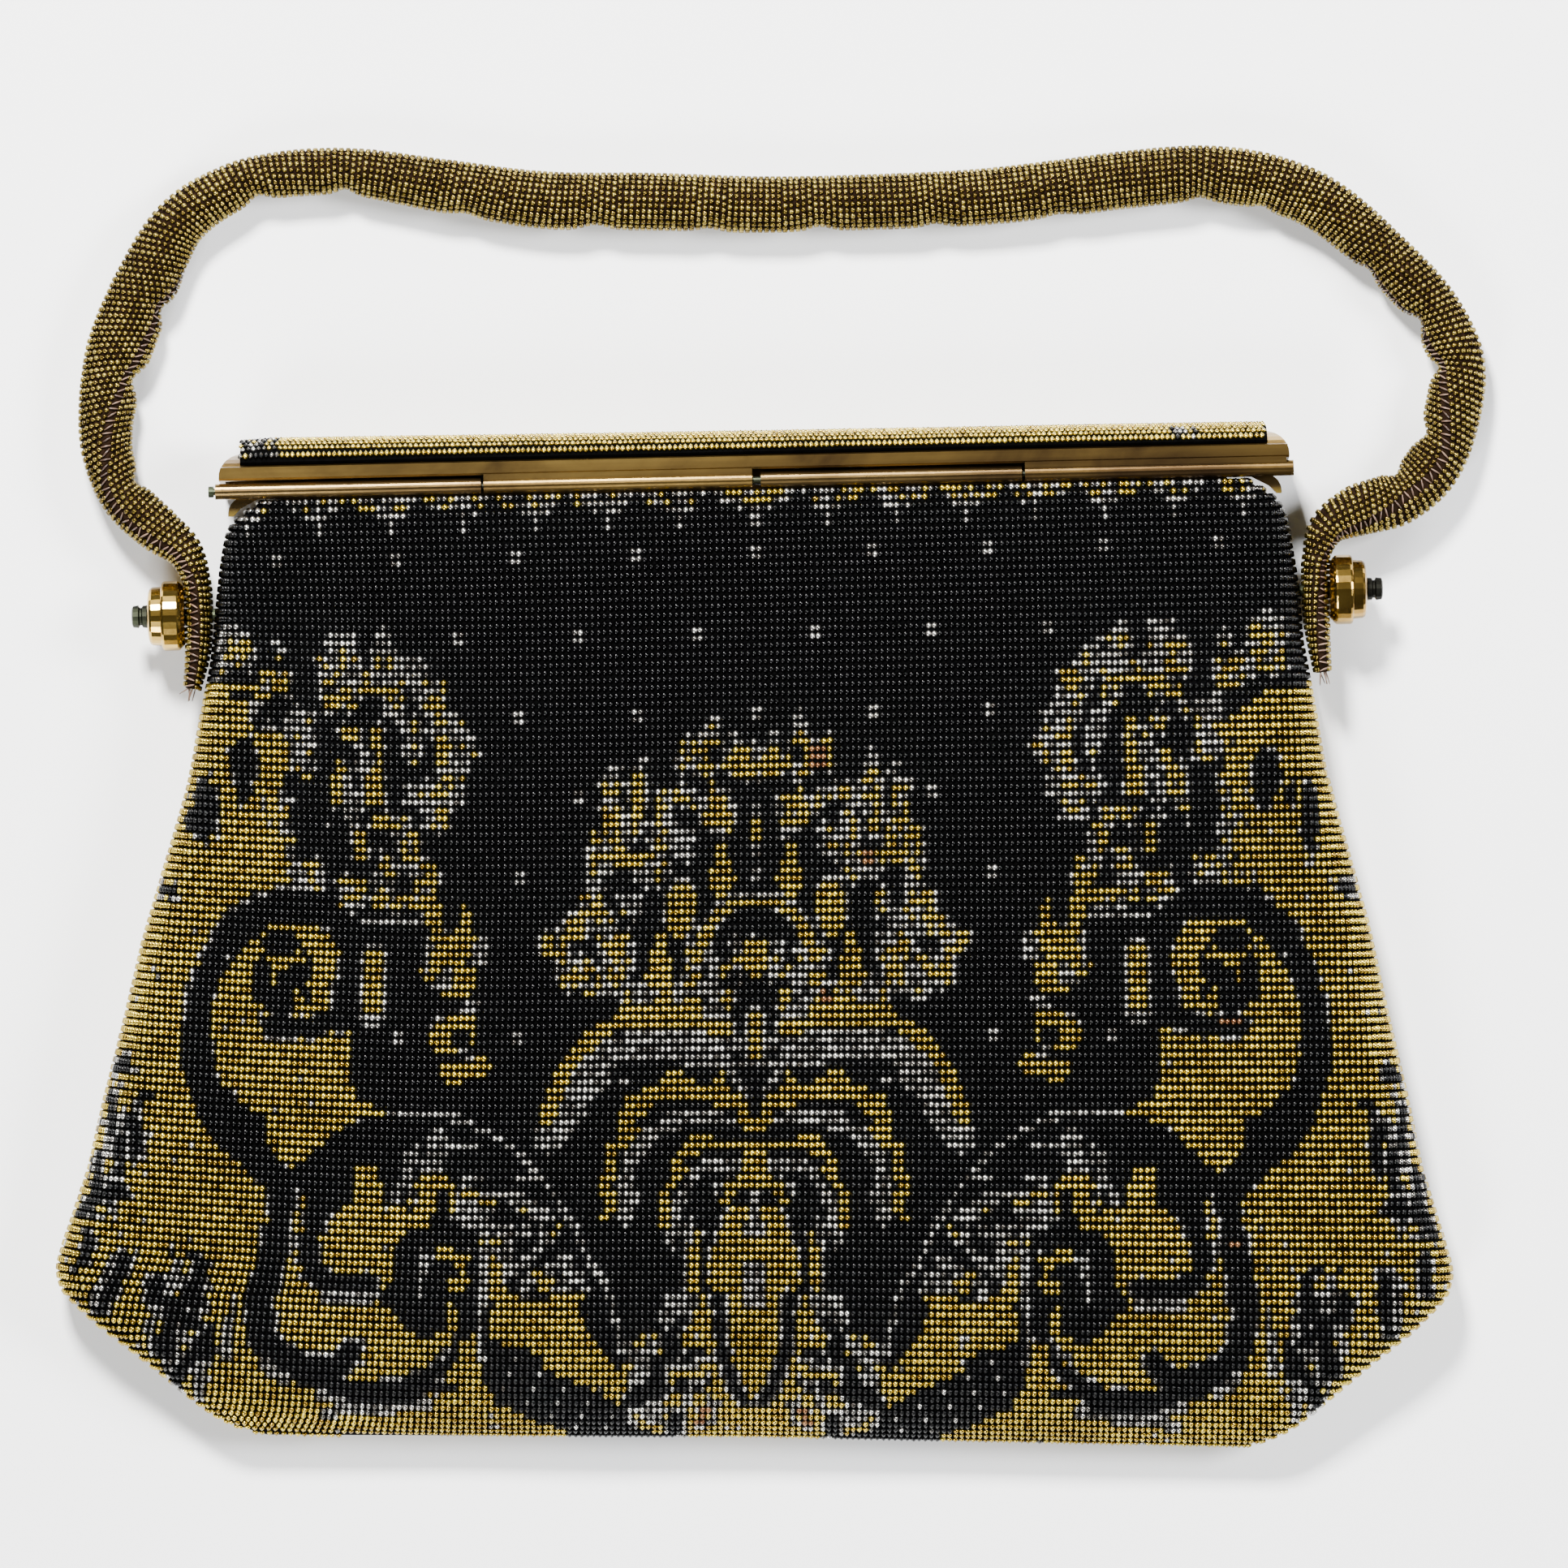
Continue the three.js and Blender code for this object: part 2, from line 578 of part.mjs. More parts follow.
function handle_rings() {
  const route = handle_route.map((p) => {
    const tall = p.tall * handle_tall;
    const z = tall + (pivot_lift - tall) * p.lift;
    return new THREE.Vector3(p.across * strap_x, pivot_y + p.up * handle_rise, z);
  });
  const curve = new THREE.CatmullRomCurve3(route, false, 'centripetal');
  const rings = [];
  const last = handle_route.length - 1;
  const steps = 3;
  const sides = 12;
  for (let i = 0; i <= last * steps; i += 1) {
    const t = i / (last * steps);
    const here = curve.getPoint(t);
    const way = curve.getTangent(t);
    way.z = 0;
    way.normalize();
    const k = Math.min(last - 1, Math.floor(i / steps));
    const f = i / steps - k;
    const a = handle_route[k];
    const b = handle_route[k + 1];
    const wide = (a.wide + (b.wide - a.wide) * f) * handle_half;
    const tall = (a.tall + (b.tall - a.tall) * f) * handle_tall;
    const low = tall + (pivot_lift - tall) * (a.lift + (b.lift - a.lift) * f);
    const points = [];
    for (let s = 0; s < sides; s += 1) {
      const turn = (s / sides) * Math.PI * 2;
      const off = Math.cos(turn) * wide;
      const up = Math.sin(turn) * tall;
      const x = here.x - way.y * off;
      const y = here.y + way.x * off;
      points.push([x, y, low + up]);
    }
    rings.push(points);
  }
  return rings;
}

let handle = outward(loft(handle_rings(), true, true));
for (const side of [-1, 1]) {
  const x = [side * (strap_x - 2 * strap_half), side * (strap_x + 2 * strap_half)].sort((a, b) => a - b);
  handle = handle.subtract(bar(hole_r, x[0], x[1], pivot_y, pivot_lift, 20));
}

// Knobs and studs
const knob_x = strap_x + strap_half + loose;
const knob_end = knob_x + knob_long;

function knob(side) {
  const line = knob_profile.map((p) => [p.out * knob_long, p.wide * knob_r]);
  const closed = [[0, hole_r]].concat(line).concat([[knob_long, hole_r], [0, hole_r]]);
  return outward(turned(closed, knob_x, side, pivot_y, pivot_lift, 32));
}

function stud(side) {
  const inner = arm_x - eye_gap - sheet - gap - stud_head;
  const post = knob_end + gap - inner;
  const line = [
    [0, 0],
    [0, stud_head_r],
    [stud_head, stud_head_r],
    [stud_head, stud_r],
    [post, stud_r],
    [post, post_r],
    [post + post_long * 0.28, post_r * 0.96],
    [post + post_long * 0.36, post_r * 0.78],
    [post + post_long * 0.48, post_r * 0.78],
    [post + post_long * 0.56, post_r],
    [post + post_long * 0.92, post_r * 0.94],
    [post + post_long, post_r * 0.7],
    [post + post_long, 0],
  ];
  return outward(turned(line, inner, side, pivot_y, pivot_lift, 16));
}

// Looks of the plain model
function look(color, metalness, roughness) {
  return new THREE.MeshStandardMaterial({ color, metalness, roughness });
}

const pieces = [
  { name: 'bag_body', made: bag, look: look(0x2a2a2a, 0.1, 0.45) },
  { name: 'front_frame', made: front, look: look(0xb08c46, 1, 0.35) },
  { name: 'back_frame', made: back, look: look(0xa5823f, 1, 0.4) },
  { name: 'lid_bar', made: lid, look: look(0xa88543, 1, 0.38) },
  { name: 'lid_band', made: band, look: look(0xc9a53f, 0.5, 0.35) },
  { name: 'hinge_pin', made: pin, look: look(0x6b6250, 1, 0.5) },
  { name: 'handle', made: handle, look: look(0x8c7032, 0.5, 0.4) },
  { name: 'knob_left', made: knob(-1), look: look(0xc89632, 1, 0.22) },
  { name: 'knob_right', made: knob(1), look: look(0xc89632, 1, 0.22) },
  { name: 'stud_left', made: stud(-1), look: look(0x2e332a, 0.7, 0.6) },
  { name: 'stud_right', made: stud(1), look: look(0x2e332a, 0.7, 0.6) },
];

const group = new THREE.Group();
group.name = 'beaded_purse';
for (const piece of pieces) {
  const mesh = new THREE.Mesh(surface(piece.made), piece.look);
  mesh.name = piece.name;
  group.add(mesh);
}

// The middle of the part's box is the origin in X and Y
const box = new THREE.Box3().setFromObject(group);
const centre = box.getCenter(new THREE.Vector3());
for (const mesh of group.children) mesh.geometry.translate(-centre.x, -centre.y, 0);

export default group;
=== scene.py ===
import json
import math

import bpy
import numpy as np
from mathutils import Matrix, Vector


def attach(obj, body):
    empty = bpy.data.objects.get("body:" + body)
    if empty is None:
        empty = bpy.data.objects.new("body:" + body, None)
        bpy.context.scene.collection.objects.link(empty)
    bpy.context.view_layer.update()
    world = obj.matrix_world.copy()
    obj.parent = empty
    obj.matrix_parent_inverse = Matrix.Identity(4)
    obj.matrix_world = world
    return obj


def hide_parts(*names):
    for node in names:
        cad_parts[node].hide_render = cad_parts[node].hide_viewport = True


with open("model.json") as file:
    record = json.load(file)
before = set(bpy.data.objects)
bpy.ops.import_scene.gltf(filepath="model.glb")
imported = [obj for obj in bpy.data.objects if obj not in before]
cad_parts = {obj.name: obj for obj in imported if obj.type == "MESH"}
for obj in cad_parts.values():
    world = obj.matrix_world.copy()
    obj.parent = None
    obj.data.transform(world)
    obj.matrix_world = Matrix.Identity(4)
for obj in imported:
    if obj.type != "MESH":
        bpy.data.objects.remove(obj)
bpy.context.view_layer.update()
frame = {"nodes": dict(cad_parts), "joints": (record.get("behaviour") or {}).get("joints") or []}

MM = 0.001
HINGE = np.array(frame["joints"][0]["pos_m"]) / MM
SHIFT = np.array([HINGE[0], HINGE[1], 0.0])
PURSE = "purse"
LID = "lid"
rng = np.random.default_rng(41)

# Bag, the same named sizes as the model
HALF_WIDTH = 125
BAG_DROP = 168.8
BAG_DEPTH = 22
CLOTH = 2
EDGE_ROUND = 10
DRIFT = 4
DROOP_LEFT = 3.3
DROOP_RIGHT = 5.4
FOLD_DEPTH = 1.8
FOLD_SPREAD = 6.5
RIM_DROP = 1.7
PIVOT_DROP = 21.7
PIVOT_DOWN = (PIVOT_DROP - RIM_DROP) / BAG_DROP
PIVOT_LIFT = 10
HANDLE_RISE = 77
HANDLE_HALF = 5
HANDLE_TALL = 4.8
STRAP_X = 99.25

# Lid
LID_RISE = 6.9
STRIP_TOP = 4.2
STRIP_FRONT = 18.596
STRIP_THICK = 1.3
BAND_THICK = 1.1
BAND_HALF = 91.2
GAP = 0.3

# Beads: spacing along a row and between rows, and how far the cloth lies inside the model's surface
COLUMN = 1.05
ROW = 1.43
BEAD_SINK = 0.62
BACK_SINK = 0.74
HANDLE_PITCH = 1.09
BAND_COLUMN = 0.93
BAND_ROW = 1.5
BAND_SEAT = GAP + 0.55
# Length along the hole and half of the thickness
BAG_BEAD = (0.93, 0.685)
HANDLE_BEAD = (0.90, 0.53)
BAND_BEAD = (0.82, 0.68)
STITCH = (1.9, 0.17)
FRAYED = (3.2, 0.13)

ROW_NAMES = ("down", "wide", "front", "mid", "back", "edge", "crown")
BODY_ROWS = np.array([
    (0, 0.704, 0.818, 0.432, 0.045, 0.3, 0),
    (0.0095, 0.728, 0.826, 0.432, 0.04, 0.3, 0),
    (0.021, 0.748, 0.831, 0.434, 0.032, 0.3, 0),
    (0.033, 0.757, 0.833, 0.437, 0.026, 0.31, 0.01),
    (0.07, 0.766, 0.834, 0.446, 0.012, 0.34, 0.03),
    (0.1185, 0.774, 0.838, 0.455, 0.003, 0.4, 0.06),
    (0.17, 0.78, 0.85, 0.45, 0, 0.46, 0.1),
    (0.225, 0.795, 0.875, 0.43, 0, 0.52, 0.14),
    (0.3, 0.813, 0.91, 0.405, 0, 0.6, 0.18),
    (0.38, 0.844, 0.945, 0.39, 0, 0.66, 0.22),
    (0.467, 0.878, 0.975, 0.378, 0, 0.7, 0.25),
    (0.55, 0.903, 1, 0.368, 0, 0.72, 0.27),
    (0.64, 0.933, 0.995, 0.358, 0, 0.72, 0.28),
    (0.71, 0.953, 0.972, 0.348, 0, 0.72, 0.28),
    (0.775, 0.982, 0.932, 0.335, 0, 0.7, 0.28),
    (0.818, 1, 0.89, 0.322, 0, 0.7, 0.28),
    (0.843, 0.993, 0.86, 0.314, 0, 0.7, 0.28),
    (0.88, 0.942, 0.808, 0.304, 0, 0.7, 0.26),
    (0.912, 0.885, 0.752, 0.295, 0.004, 0.68, 0.24),
    (0.942, 0.836, 0.68, 0.286, 0.016, 0.62, 0.2),
    (0.966, 0.798, 0.595, 0.278, 0.042, 0.54, 0.16),
    (0.985, 0.762, 0.485, 0.27, 0.098, 0.4, 0.1),
    (0.996, 0.728, 0.375, 0.265, 0.17, 0.22, 0.04),
    (1, 0.7, 0.3, 0.262, 0.224, 0.1, 0),
])

# Soft folds: across, from, to, deep, spread, as in the model
FOLDS = [
    (-0.81, 0, 0.34, 1, 1),
    (-0.92, 0.02, 0.4, -0.35, 0.9),
    (0.83, 0.06, 0.3, 0.8, 1),
    (0.93, 0.04, 0.36, -0.3, 0.9),
    (-0.62, 0.72, 1, 0.6, 2.2),
    (-0.3, 0.8, 1, -0.4, 2.4),
    (0.36, 0.78, 1, 0.45, 2),
    (-0.9, 0.45, 0.8, -0.45, 1.6),
]

# Route of the handle: across, up, wide, tall, lift, as in the model but fuller beside the knobs
HANDLE_ROUTE = np.array([
    (-1.018, -0.17, 0.34, 0.85, 1),
    (-1.006, -0.085, 0.48, 1, 1),
    (-1.002, 0, 0.5, 1.04, 1),
    (-1.006, 0.084, 0.51, 1.02, 0.98),
    (-1.028, 0.152, 0.68, 1, 0.9),
    (-1.072, 0.2, 0.86, 0.98, 0.74),
    (-1.13, 0.275, 0.9, 0.96, 0.42),
    (-1.162, 0.374, 0.92, 0.96, 0.18),
    (-1.165, 0.458, 1, 0.98, 0.06),
    (-1.14, 0.614, 1.2, 1.04, 0),
    (-1.093, 0.755, 1.2, 1.04, 0),
    (-1.025, 0.912, 0.98, 1, 0),
    (-0.936, 0.988, 0.88, 0.96, 0),
    (-0.861, 1.016, 0.84, 0.94, 0),
    (-0.723, 1.023, 0.86, 0.94, 0),
    (-0.536, 0.982, 0.98, 0.98, 0),
    (-0.369, 0.947, 1.04, 1, 0),
    (-0.18, 0.938, 1.04, 1, 0),
    (0.026, 0.925, 1.02, 1, 0),
    (0.186, 0.925, 1, 1, 0),
    (0.403, 0.93, 1.02, 1, 0),
    (0.549, 0.945, 1.04, 1, 0),
    (0.694, 0.965, 1.04, 1, 0),
    (0.829, 0.972, 1.04, 1, 0),
    (0.94, 0.948, 1.04, 1, 0),
    (1.03, 0.899, 1.02, 1, 0),
    (1.134, 0.784, 0.98, 1, 0),
    (1.229, 0.644, 1, 1, 0),
    (1.269, 0.522, 1.02, 1, 0),
    (1.257, 0.397, 1.04, 1, 0.05),
    (1.218, 0.278, 1.04, 0.98, 0.18),
    (1.154, 0.21, 1.02, 0.98, 0.42),
    (1.08, 0.182, 0.94, 1, 0.74),
    (1.028, 0.146, 0.7, 1, 0.9),
    (1.006, 0.084, 0.51, 1.02, 0.98),
    (1.002, 0, 0.5, 1.04, 1),
    (1.004, -0.085, 0.48, 1, 1),
    (1.012, -0.19, 0.34, 0.85, 1),
])

# Arch of the lid seen from its end: up, back, as in the model
ARCH = np.array([
    (0.08, 0.00), (0.30, 0.045), (0.55, 0.13), (0.80, 0.26), (0.95, 0.40), (1.00, 0.53),
    (0.96, 0.66), (0.82, 0.79), (0.55, 0.90), (0.15, 0.965), (-0.45, 0.995), (-1.45, 1.00),
])


def to_world(points):
    return (np.asarray(points, float) + SHIFT) * MM


# Surface of the bag

FINE = 1201
SOFTEN = 9


def softened_rows():
    """The table's columns on a fine scale with their corners eased."""
    downs = np.linspace(0, 1, FINE)
    reach = 3 * SOFTEN
    kernel = np.exp(-0.5 * (np.arange(-reach, reach + 1) / SOFTEN) ** 2)
    kernel /= kernel.sum()
    columns = {}
    for place, name in enumerate(ROW_NAMES):
        raw = np.interp(downs, BODY_ROWS[:, 0], BODY_ROWS[:, place])
        before = 2 * raw[0] - raw[reach:0:-1]
        after = 2 * raw[-1] - raw[-2:-reach - 2:-1]
        columns[name] = np.convolve(np.concatenate([before, raw, after]), kernel, "valid")
    columns["down"] = downs
    return columns


SOFT_ROWS = softened_rows()


def along_line(line, power=1):
    """How far each point of a line lies from its start, with each step raised to a power."""
    return np.concatenate([[0], np.cumsum(np.linalg.norm(np.diff(line, axis=0), axis=1) ** power)])


def row_value(name, down):
    return np.interp(down, SOFT_ROWS["down"], SOFT_ROWS[name])


def fold_at(across, down, half):
    total = 0
    for middle_across, start, stop, deep, spread in FOLDS:
        middle = (start + stop) / 2
        reach = (stop - start) / 2
        along = np.maximum(0, 1 - ((down - middle) / reach) ** 2)
        off = (across - middle_across) * half / (spread * FOLD_SPREAD)
        total = total + FOLD_DEPTH * deep * along * np.exp(-off * off)
    return total


def sag(x, down):
    below = np.maximum(0, (down - PIVOT_DOWN) / (1 - PIVOT_DOWN))
    droop = np.where(x > 0, DROOP_RIGHT, DROOP_LEFT)
    return x - DRIFT * below, -RIM_DROP - down * BAG_DROP - droop * down ** 1.5 * x / HALF_WIDTH


def skin(across, down, front, wall=0.0):
    """Points of the bag's surface. across runs from -1 to 1, front says which side."""
    half = row_value("wide", down) * HALF_WIDTH - wall
    mid = row_value("mid", down) * BAG_DEPTH
    rise = row_value("front", down) * BAG_DEPTH - mid - wall
    fall = mid - row_value("back", down) * BAG_DEPTH - wall
    edge = np.maximum(row_value("edge", down) * EDGE_ROUND - wall, 0.8)
    inset = np.minimum(1, half * (1 - abs(across)) / edge)
    bend = np.sqrt(np.maximum(0, 1 - (1 - inset) ** 2))
    crown = 1 - row_value("crown", down) * abs(across) ** 3
    x, y = sag(across * half, down)
    if front:
        z = mid + rise * bend * crown - fold_at(across, down, half) * bend
    else:
        z = mid - fall * bend
    return np.stack(np.broadcast_arrays(x, y, z), -1)


# Meshes

def put_in_scene(name, data):
    """A new object in the scene's own collection."""
    made = bpy.data.objects.new(name, data)
    bpy.context.scene.collection.objects.link(made)
    return made


def new_object(name, vertices, faces, material, smooth=True):
    mesh = bpy.data.meshes.new(name)
    mesh.from_pydata([tuple(v) for v in vertices], [], faces)
    mesh.validate()
    if smooth:
        mesh.shade_smooth()
    mesh.materials.append(material)
    return put_in_scene(name, mesh)


def ring_faces(rings, size):
    """Faces that join closed rings of points, one ring after another."""
    faces = []
    for i in range(rings - 1):
        for k in range(size):
            a = i * size + k
            b = i * size + (k + 1) % size
            faces.append((a, b, b + size, a + size))
    return faces


def end_faces(rings, size):
    """The two flat ends of a row of closed rings."""
    last = (rings - 1) * size
    return [tuple(reversed(range(size))), tuple(range(last, last + size))]


def packed_mesh(name, vertices, sizes, loops, material, tint):
    """A large mesh from flat arrays. tint is one number per corner point."""
    mesh = bpy.data.meshes.new(name)
    mesh.vertices.add(len(vertices))
    mesh.vertices.foreach_set("co", np.ascontiguousarray(vertices, np.float32).ravel())
    mesh.loops.add(len(loops))
    mesh.loops.foreach_set("vertex_index", np.ascontiguousarray(loops, np.int32))
    mesh.polygons.add(len(sizes))
    starts = np.concatenate([[0], np.cumsum(sizes)[:-1]])
    mesh.polygons.foreach_set("loop_start", np.ascontiguousarray(starts, np.int32))
    mesh.update(calc_edges=True)
    mesh.shade_smooth()
    layer = mesh.attributes.new("tint", "FLOAT", "POINT")
    layer.data.foreach_set("value", np.ascontiguousarray(tint, np.float32))
    mesh.materials.append(material)
    return put_in_scene(name, mesh)


def bead_template(stations, angles, squash):
    """A closed half barrel. stations are (place, radius) along its hole, angles go over its top."""
    points = []
    for place, radius in stations:
        for angle in angles:
            turn = math.radians(angle)
            points.append((place, radius * math.cos(turn), squash * radius * math.sin(turn)))
    count = len(angles)
    faces = []
    for i in range(len(stations) - 1):
        for k in range(count - 1):
            a = i * count + k
            faces.append((a, a + 1, a + count + 1, a + count))
    near = [i * count for i in range(len(stations))]
    far = [i * count + count - 1 for i in range(len(stations))]
    faces += end_faces(len(stations), count) + [tuple(near + far[::-1])]
    return np.array(points), faces


ROUND_BEAD = bead_template([(-0.5, 0.50), (0, 1), (0.5, 0.50)], (0, 50, 130, 180), 1.1)
PLAIN_BEAD = bead_template([(-0.48, 0.9), (0.48, 0.9)], (0, 60, 120, 180), 1.0)
SMALL_BEAD = bead_template([(-0.48, 0.9), (0.48, 0.9)], (0, 90, 180), 0.95)


def bead_field(name, beads, template, material):
    """All the beads of one kind as one mesh. beads holds places, directions and sizes."""
    points, faces = template
    local = points[None, :, :] * beads["size"][:, None, :]
    spread = (
        local[:, :, 0:1] * beads["along"][:, None, :]
        + local[:, :, 1:2] * beads["down"][:, None, :]
        + local[:, :, 2:3] * beads["up"][:, None, :]
    )
    vertices = to_world((beads["place"][:, None, :] + spread).reshape(-1, 3))
    count = len(beads["place"])
    one = np.array([k for face in faces for k in face])
    loops = (one[None, :] + (np.arange(count) * len(points))[:, None]).ravel()
    sizes = np.tile([len(face) for face in faces], count)
    tint = np.repeat(beads["tint"], len(points))
    return packed_mesh(name, vertices, sizes, loops, material, tint)


def unit(vectors):
    return vectors / np.maximum(np.linalg.norm(vectors, axis=-1, keepdims=True), 1e-9)


def pick(beads, chosen):
    return {key: value[chosen] for key, value in beads.items()}


def joined(lists):
    return {key: np.concatenate([item[key] for item in lists]) for key in lists[0]}


def seat(places, along, down, size, wobble):
    """Directions and sizes of beads that lie on a surface, each a little out of true."""
    length, half = size
    along = unit(along)
    up = unit(np.cross(down, along))
    count = len(places)
    turn = rng.normal(0, wobble, (count, 1))
    lean = rng.normal(0, wobble, (count, 1))
    along = unit(along + turn * unit(down) + lean * up)
    up = unit(up - lean * along)
    across = np.cross(up, along)
    shift = rng.normal(0, 0.03, (count, 2))
    places = places + shift[:, :1] * along + shift[:, 1:] * across
    size = np.stack([
        length * rng.uniform(0.92, 1.04, count),
        half * rng.uniform(0.93, 1.05, count),
        half * rng.uniform(0.93, 1.05, count),
    ], -1)
    return {"place": places, "along": along, "down": across, "up": up, "size": size,
            "tint": rng.random(count)}


# Materials

def shader(name):
    material = bpy.data.materials.new(name)
    material.use_nodes = True
    nodes = material.node_tree.nodes
    return material, nodes, material.node_tree.links, nodes["Principled BSDF"]


def ramp(nodes, links, source, stops):
    node = nodes.new("ShaderNodeValToRGB")
    elements = node.color_ramp.elements
    for place, (position, color) in enumerate(stops):
        element = elements[place] if place < 2 else elements.new(position)
        element.position = position
        element.color = (*color, 1)
    links.new(source, node.inputs["Fac"])
    return node.outputs["Color"]


def noise(nodes, links, scale, detail, distortion=0.0, stretch=None):
    where = nodes.new("ShaderNodeTexCoord").outputs["Object"]
    if stretch:
        mapping = nodes.new("ShaderNodeMapping")
        mapping.inputs["Scale"].default_value = stretch
        links.new(where, mapping.inputs["Vector"])
        where = mapping.outputs["Vector"]
    node = nodes.new("ShaderNodeTexNoise")
    node.inputs["Scale"].default_value = scale
    node.inputs["Detail"].default_value = detail
    node.inputs["Distortion"].default_value = distortion
    links.new(where, node.inputs["Vector"])
    return node.outputs["Fac"]


def mixed(nodes, links, factor, first, second, blend="MIX"):
    """A mix of two colours. Each input is a value or the socket that feeds it."""
    node = nodes.new("ShaderNodeMix")
    node.data_type = "RGBA"
    node.blend_type = blend
    for socket, value in ((node.inputs["Factor"], factor), (node.inputs[6], first), (node.inputs[7], second)):
        if isinstance(value, tuple):
            socket.default_value = (*value, 1)
        elif isinstance(value, float):
            socket.default_value = value
        else:
            links.new(value, socket)
    return node.outputs[2]


def scaled(nodes, links, source, low, high):
    node = nodes.new("ShaderNodeMapRange")
    node.inputs["To Min"].default_value = low
    node.inputs["To Max"].default_value = high
    links.new(source, node.inputs["Value"])
    return node.outputs["Result"]


def bump(nodes, links, base, height, strength, distance):
    node = nodes.new("ShaderNodeBump")
    node.inputs["Strength"].default_value = strength
    node.inputs["Distance"].default_value = distance
    links.new(height, node.inputs["Height"])
    links.new(node.outputs["Normal"], base.inputs["Normal"])


def bead_look(name, stops, metallic, rough_low, rough_high, gloss=0.5):
    """Small beads. Each bead's own random number picks its shade between the stops."""
    material, nodes, links, base = shader(name)
    tint = nodes.new("ShaderNodeAttribute")
    tint.attribute_name = "tint"
    shade = ramp(nodes, links, tint.outputs["Fac"], stops)
    patch = noise(nodes, links, 60, 3)
    dull = ramp(nodes, links, patch, [(0.30, (0.62, 0.60, 0.58)), (0.62, (1, 1, 1))])
    links.new(mixed(nodes, links, 1.0, shade, dull, "MULTIPLY"), base.inputs["Base Color"])
    links.new(scaled(nodes, links, tint.outputs["Fac"], rough_low, rough_high), base.inputs["Roughness"])
    base.inputs["Metallic"].default_value = metallic
    base.inputs["Specular IOR Level"].default_value = gloss
    return material


def cloth_look(name, dark, light):
    material, nodes, links, base = shader(name)
    where = nodes.new("ShaderNodeTexCoord")
    weave = nodes.new("ShaderNodeTexVoronoi")
    weave.inputs["Scale"].default_value = 900
    links.new(where.outputs["Object"], weave.inputs["Vector"])
    color = mixed(nodes, links, weave.outputs["Distance"], light, dark)
    links.new(color, base.inputs["Base Color"])
    base.inputs["Roughness"].default_value = 0.9
    base.inputs["Specular IOR Level"].default_value = 0.02
    bump(nodes, links, base, weave.outputs["Distance"], 0.5, 0.0002)
    return material


GILT = (0.62, 0.43, 0.09)
WORN_BRASS = (0.15, 0.095, 0.034)
TARNISH = (0.04, 0.023, 0.011)


def brass_look(name, bright, worn, tarnish, amount, rough_low, rough_high, gilt=None):
    """Brass with streaks, brown tarnish in patches and an uneven face. gilt is where the gilding starts
    and ends, along Y in metres."""
    material, nodes, links, base = shader(name)
    broad = noise(nodes, links, 38, 6, 0.6)
    fine = noise(nodes, links, 420, 5)
    streaks = noise(nodes, links, 60, 4, stretch=(0.12, 5, 2))
    sharp = ramp(nodes, links, streaks, [(0.38, (0, 0, 0)), (0.62, (1, 1, 1))])
    mottled = mixed(nodes, links, sharp, worn, bright)
    if gilt:
        where = nodes.new("ShaderNodeNewGeometry")
        parts = nodes.new("ShaderNodeSeparateXYZ")
        links.new(where.outputs["Position"], parts.inputs["Vector"])
        reach = nodes.new("ShaderNodeMapRange")
        reach.inputs["From Min"].default_value = gilt[0]
        reach.inputs["From Max"].default_value = gilt[1]
        links.new(parts.outputs["Y"], reach.inputs["Value"])
        mottled = mixed(nodes, links, reach.outputs["Result"], GILT, mottled)
        tarnish = mixed(nodes, links, reach.outputs["Result"], GILT, tarnish)
    where = ramp(nodes, links, broad, [(amount - 0.13, (1, 1, 1)), (amount + 0.10, (0, 0, 0))])
    color = mixed(nodes, links, where, mottled, tarnish)
    links.new(color, base.inputs["Base Color"])
    base.inputs["Metallic"].default_value = 1.0
    links.new(scaled(nodes, links, broad, rough_high, rough_low), base.inputs["Roughness"])
    bump(nodes, links, base, fine, 0.12, 0.0002)
    return material


BLACK_BEADS = bead_look("black_beads", [(0.0, (0.0002, 0.0002, 0.0003)), (1.0, (0.0008, 0.0008, 0.001))],
                        0.0, 0.16, 0.24, 0.2)
GOLD_BEADS = bead_look("gold_beads", [(0.0, (0.24, 0.15, 0.014)), (0.25, (0.44, 0.31, 0.03)),
                                      (1.0, (0.66, 0.51, 0.065))], 0.95, 0.15, 0.28)
SILVER_BEADS = bead_look("silver_beads", [(0.0, (0.05, 0.045, 0.04)), (0.3, (0.16, 0.155, 0.145)),
                                          (0.65, (0.40, 0.39, 0.37)), (1.0, (0.64, 0.63, 0.60))],
                         0.95, 0.15, 0.26)
COPPER_BEADS = bead_look("copper_beads", [(0.0, (0.16, 0.07, 0.03)), (1.0, (0.28, 0.14, 0.06))],
                         0.9, 0.2, 0.35)
BRONZE_BEADS = bead_look("bronze_beads", [(0.0, (0.09, 0.06, 0.01)), (0.5, (0.185, 0.132, 0.022)),
                                          (1.0, (0.31, 0.235, 0.05))], 0.95, 0.17, 0.30)
BAND_BEADS = bead_look("band_beads", [(0.0, (0.32, 0.22, 0.025)), (0.3, (0.56, 0.42, 0.05)),
                                      (1.0, (0.78, 0.61, 0.10))], 0.95, 0.15, 0.28)
PINK_THREAD = bead_look("pink_thread", [(0.0, (0.05, 0.026, 0.017)), (1.0, (0.19, 0.11, 0.07))],
                        0.1, 0.35, 0.5)
BLACK_CLOTH = cloth_look("black_cloth", (0.0002, 0.0002, 0.0002), (0.0006, 0.0006, 0.0007))
BROWN_CLOTH = cloth_look("brown_cloth", (0.003, 0.0015, 0.0008), (0.012, 0.006, 0.003))
AGED_BRASS = brass_look("aged_brass", (0.33, 0.215, 0.06), (0.16, 0.098, 0.030), TARNISH, 0.46, 0.20, 0.40)
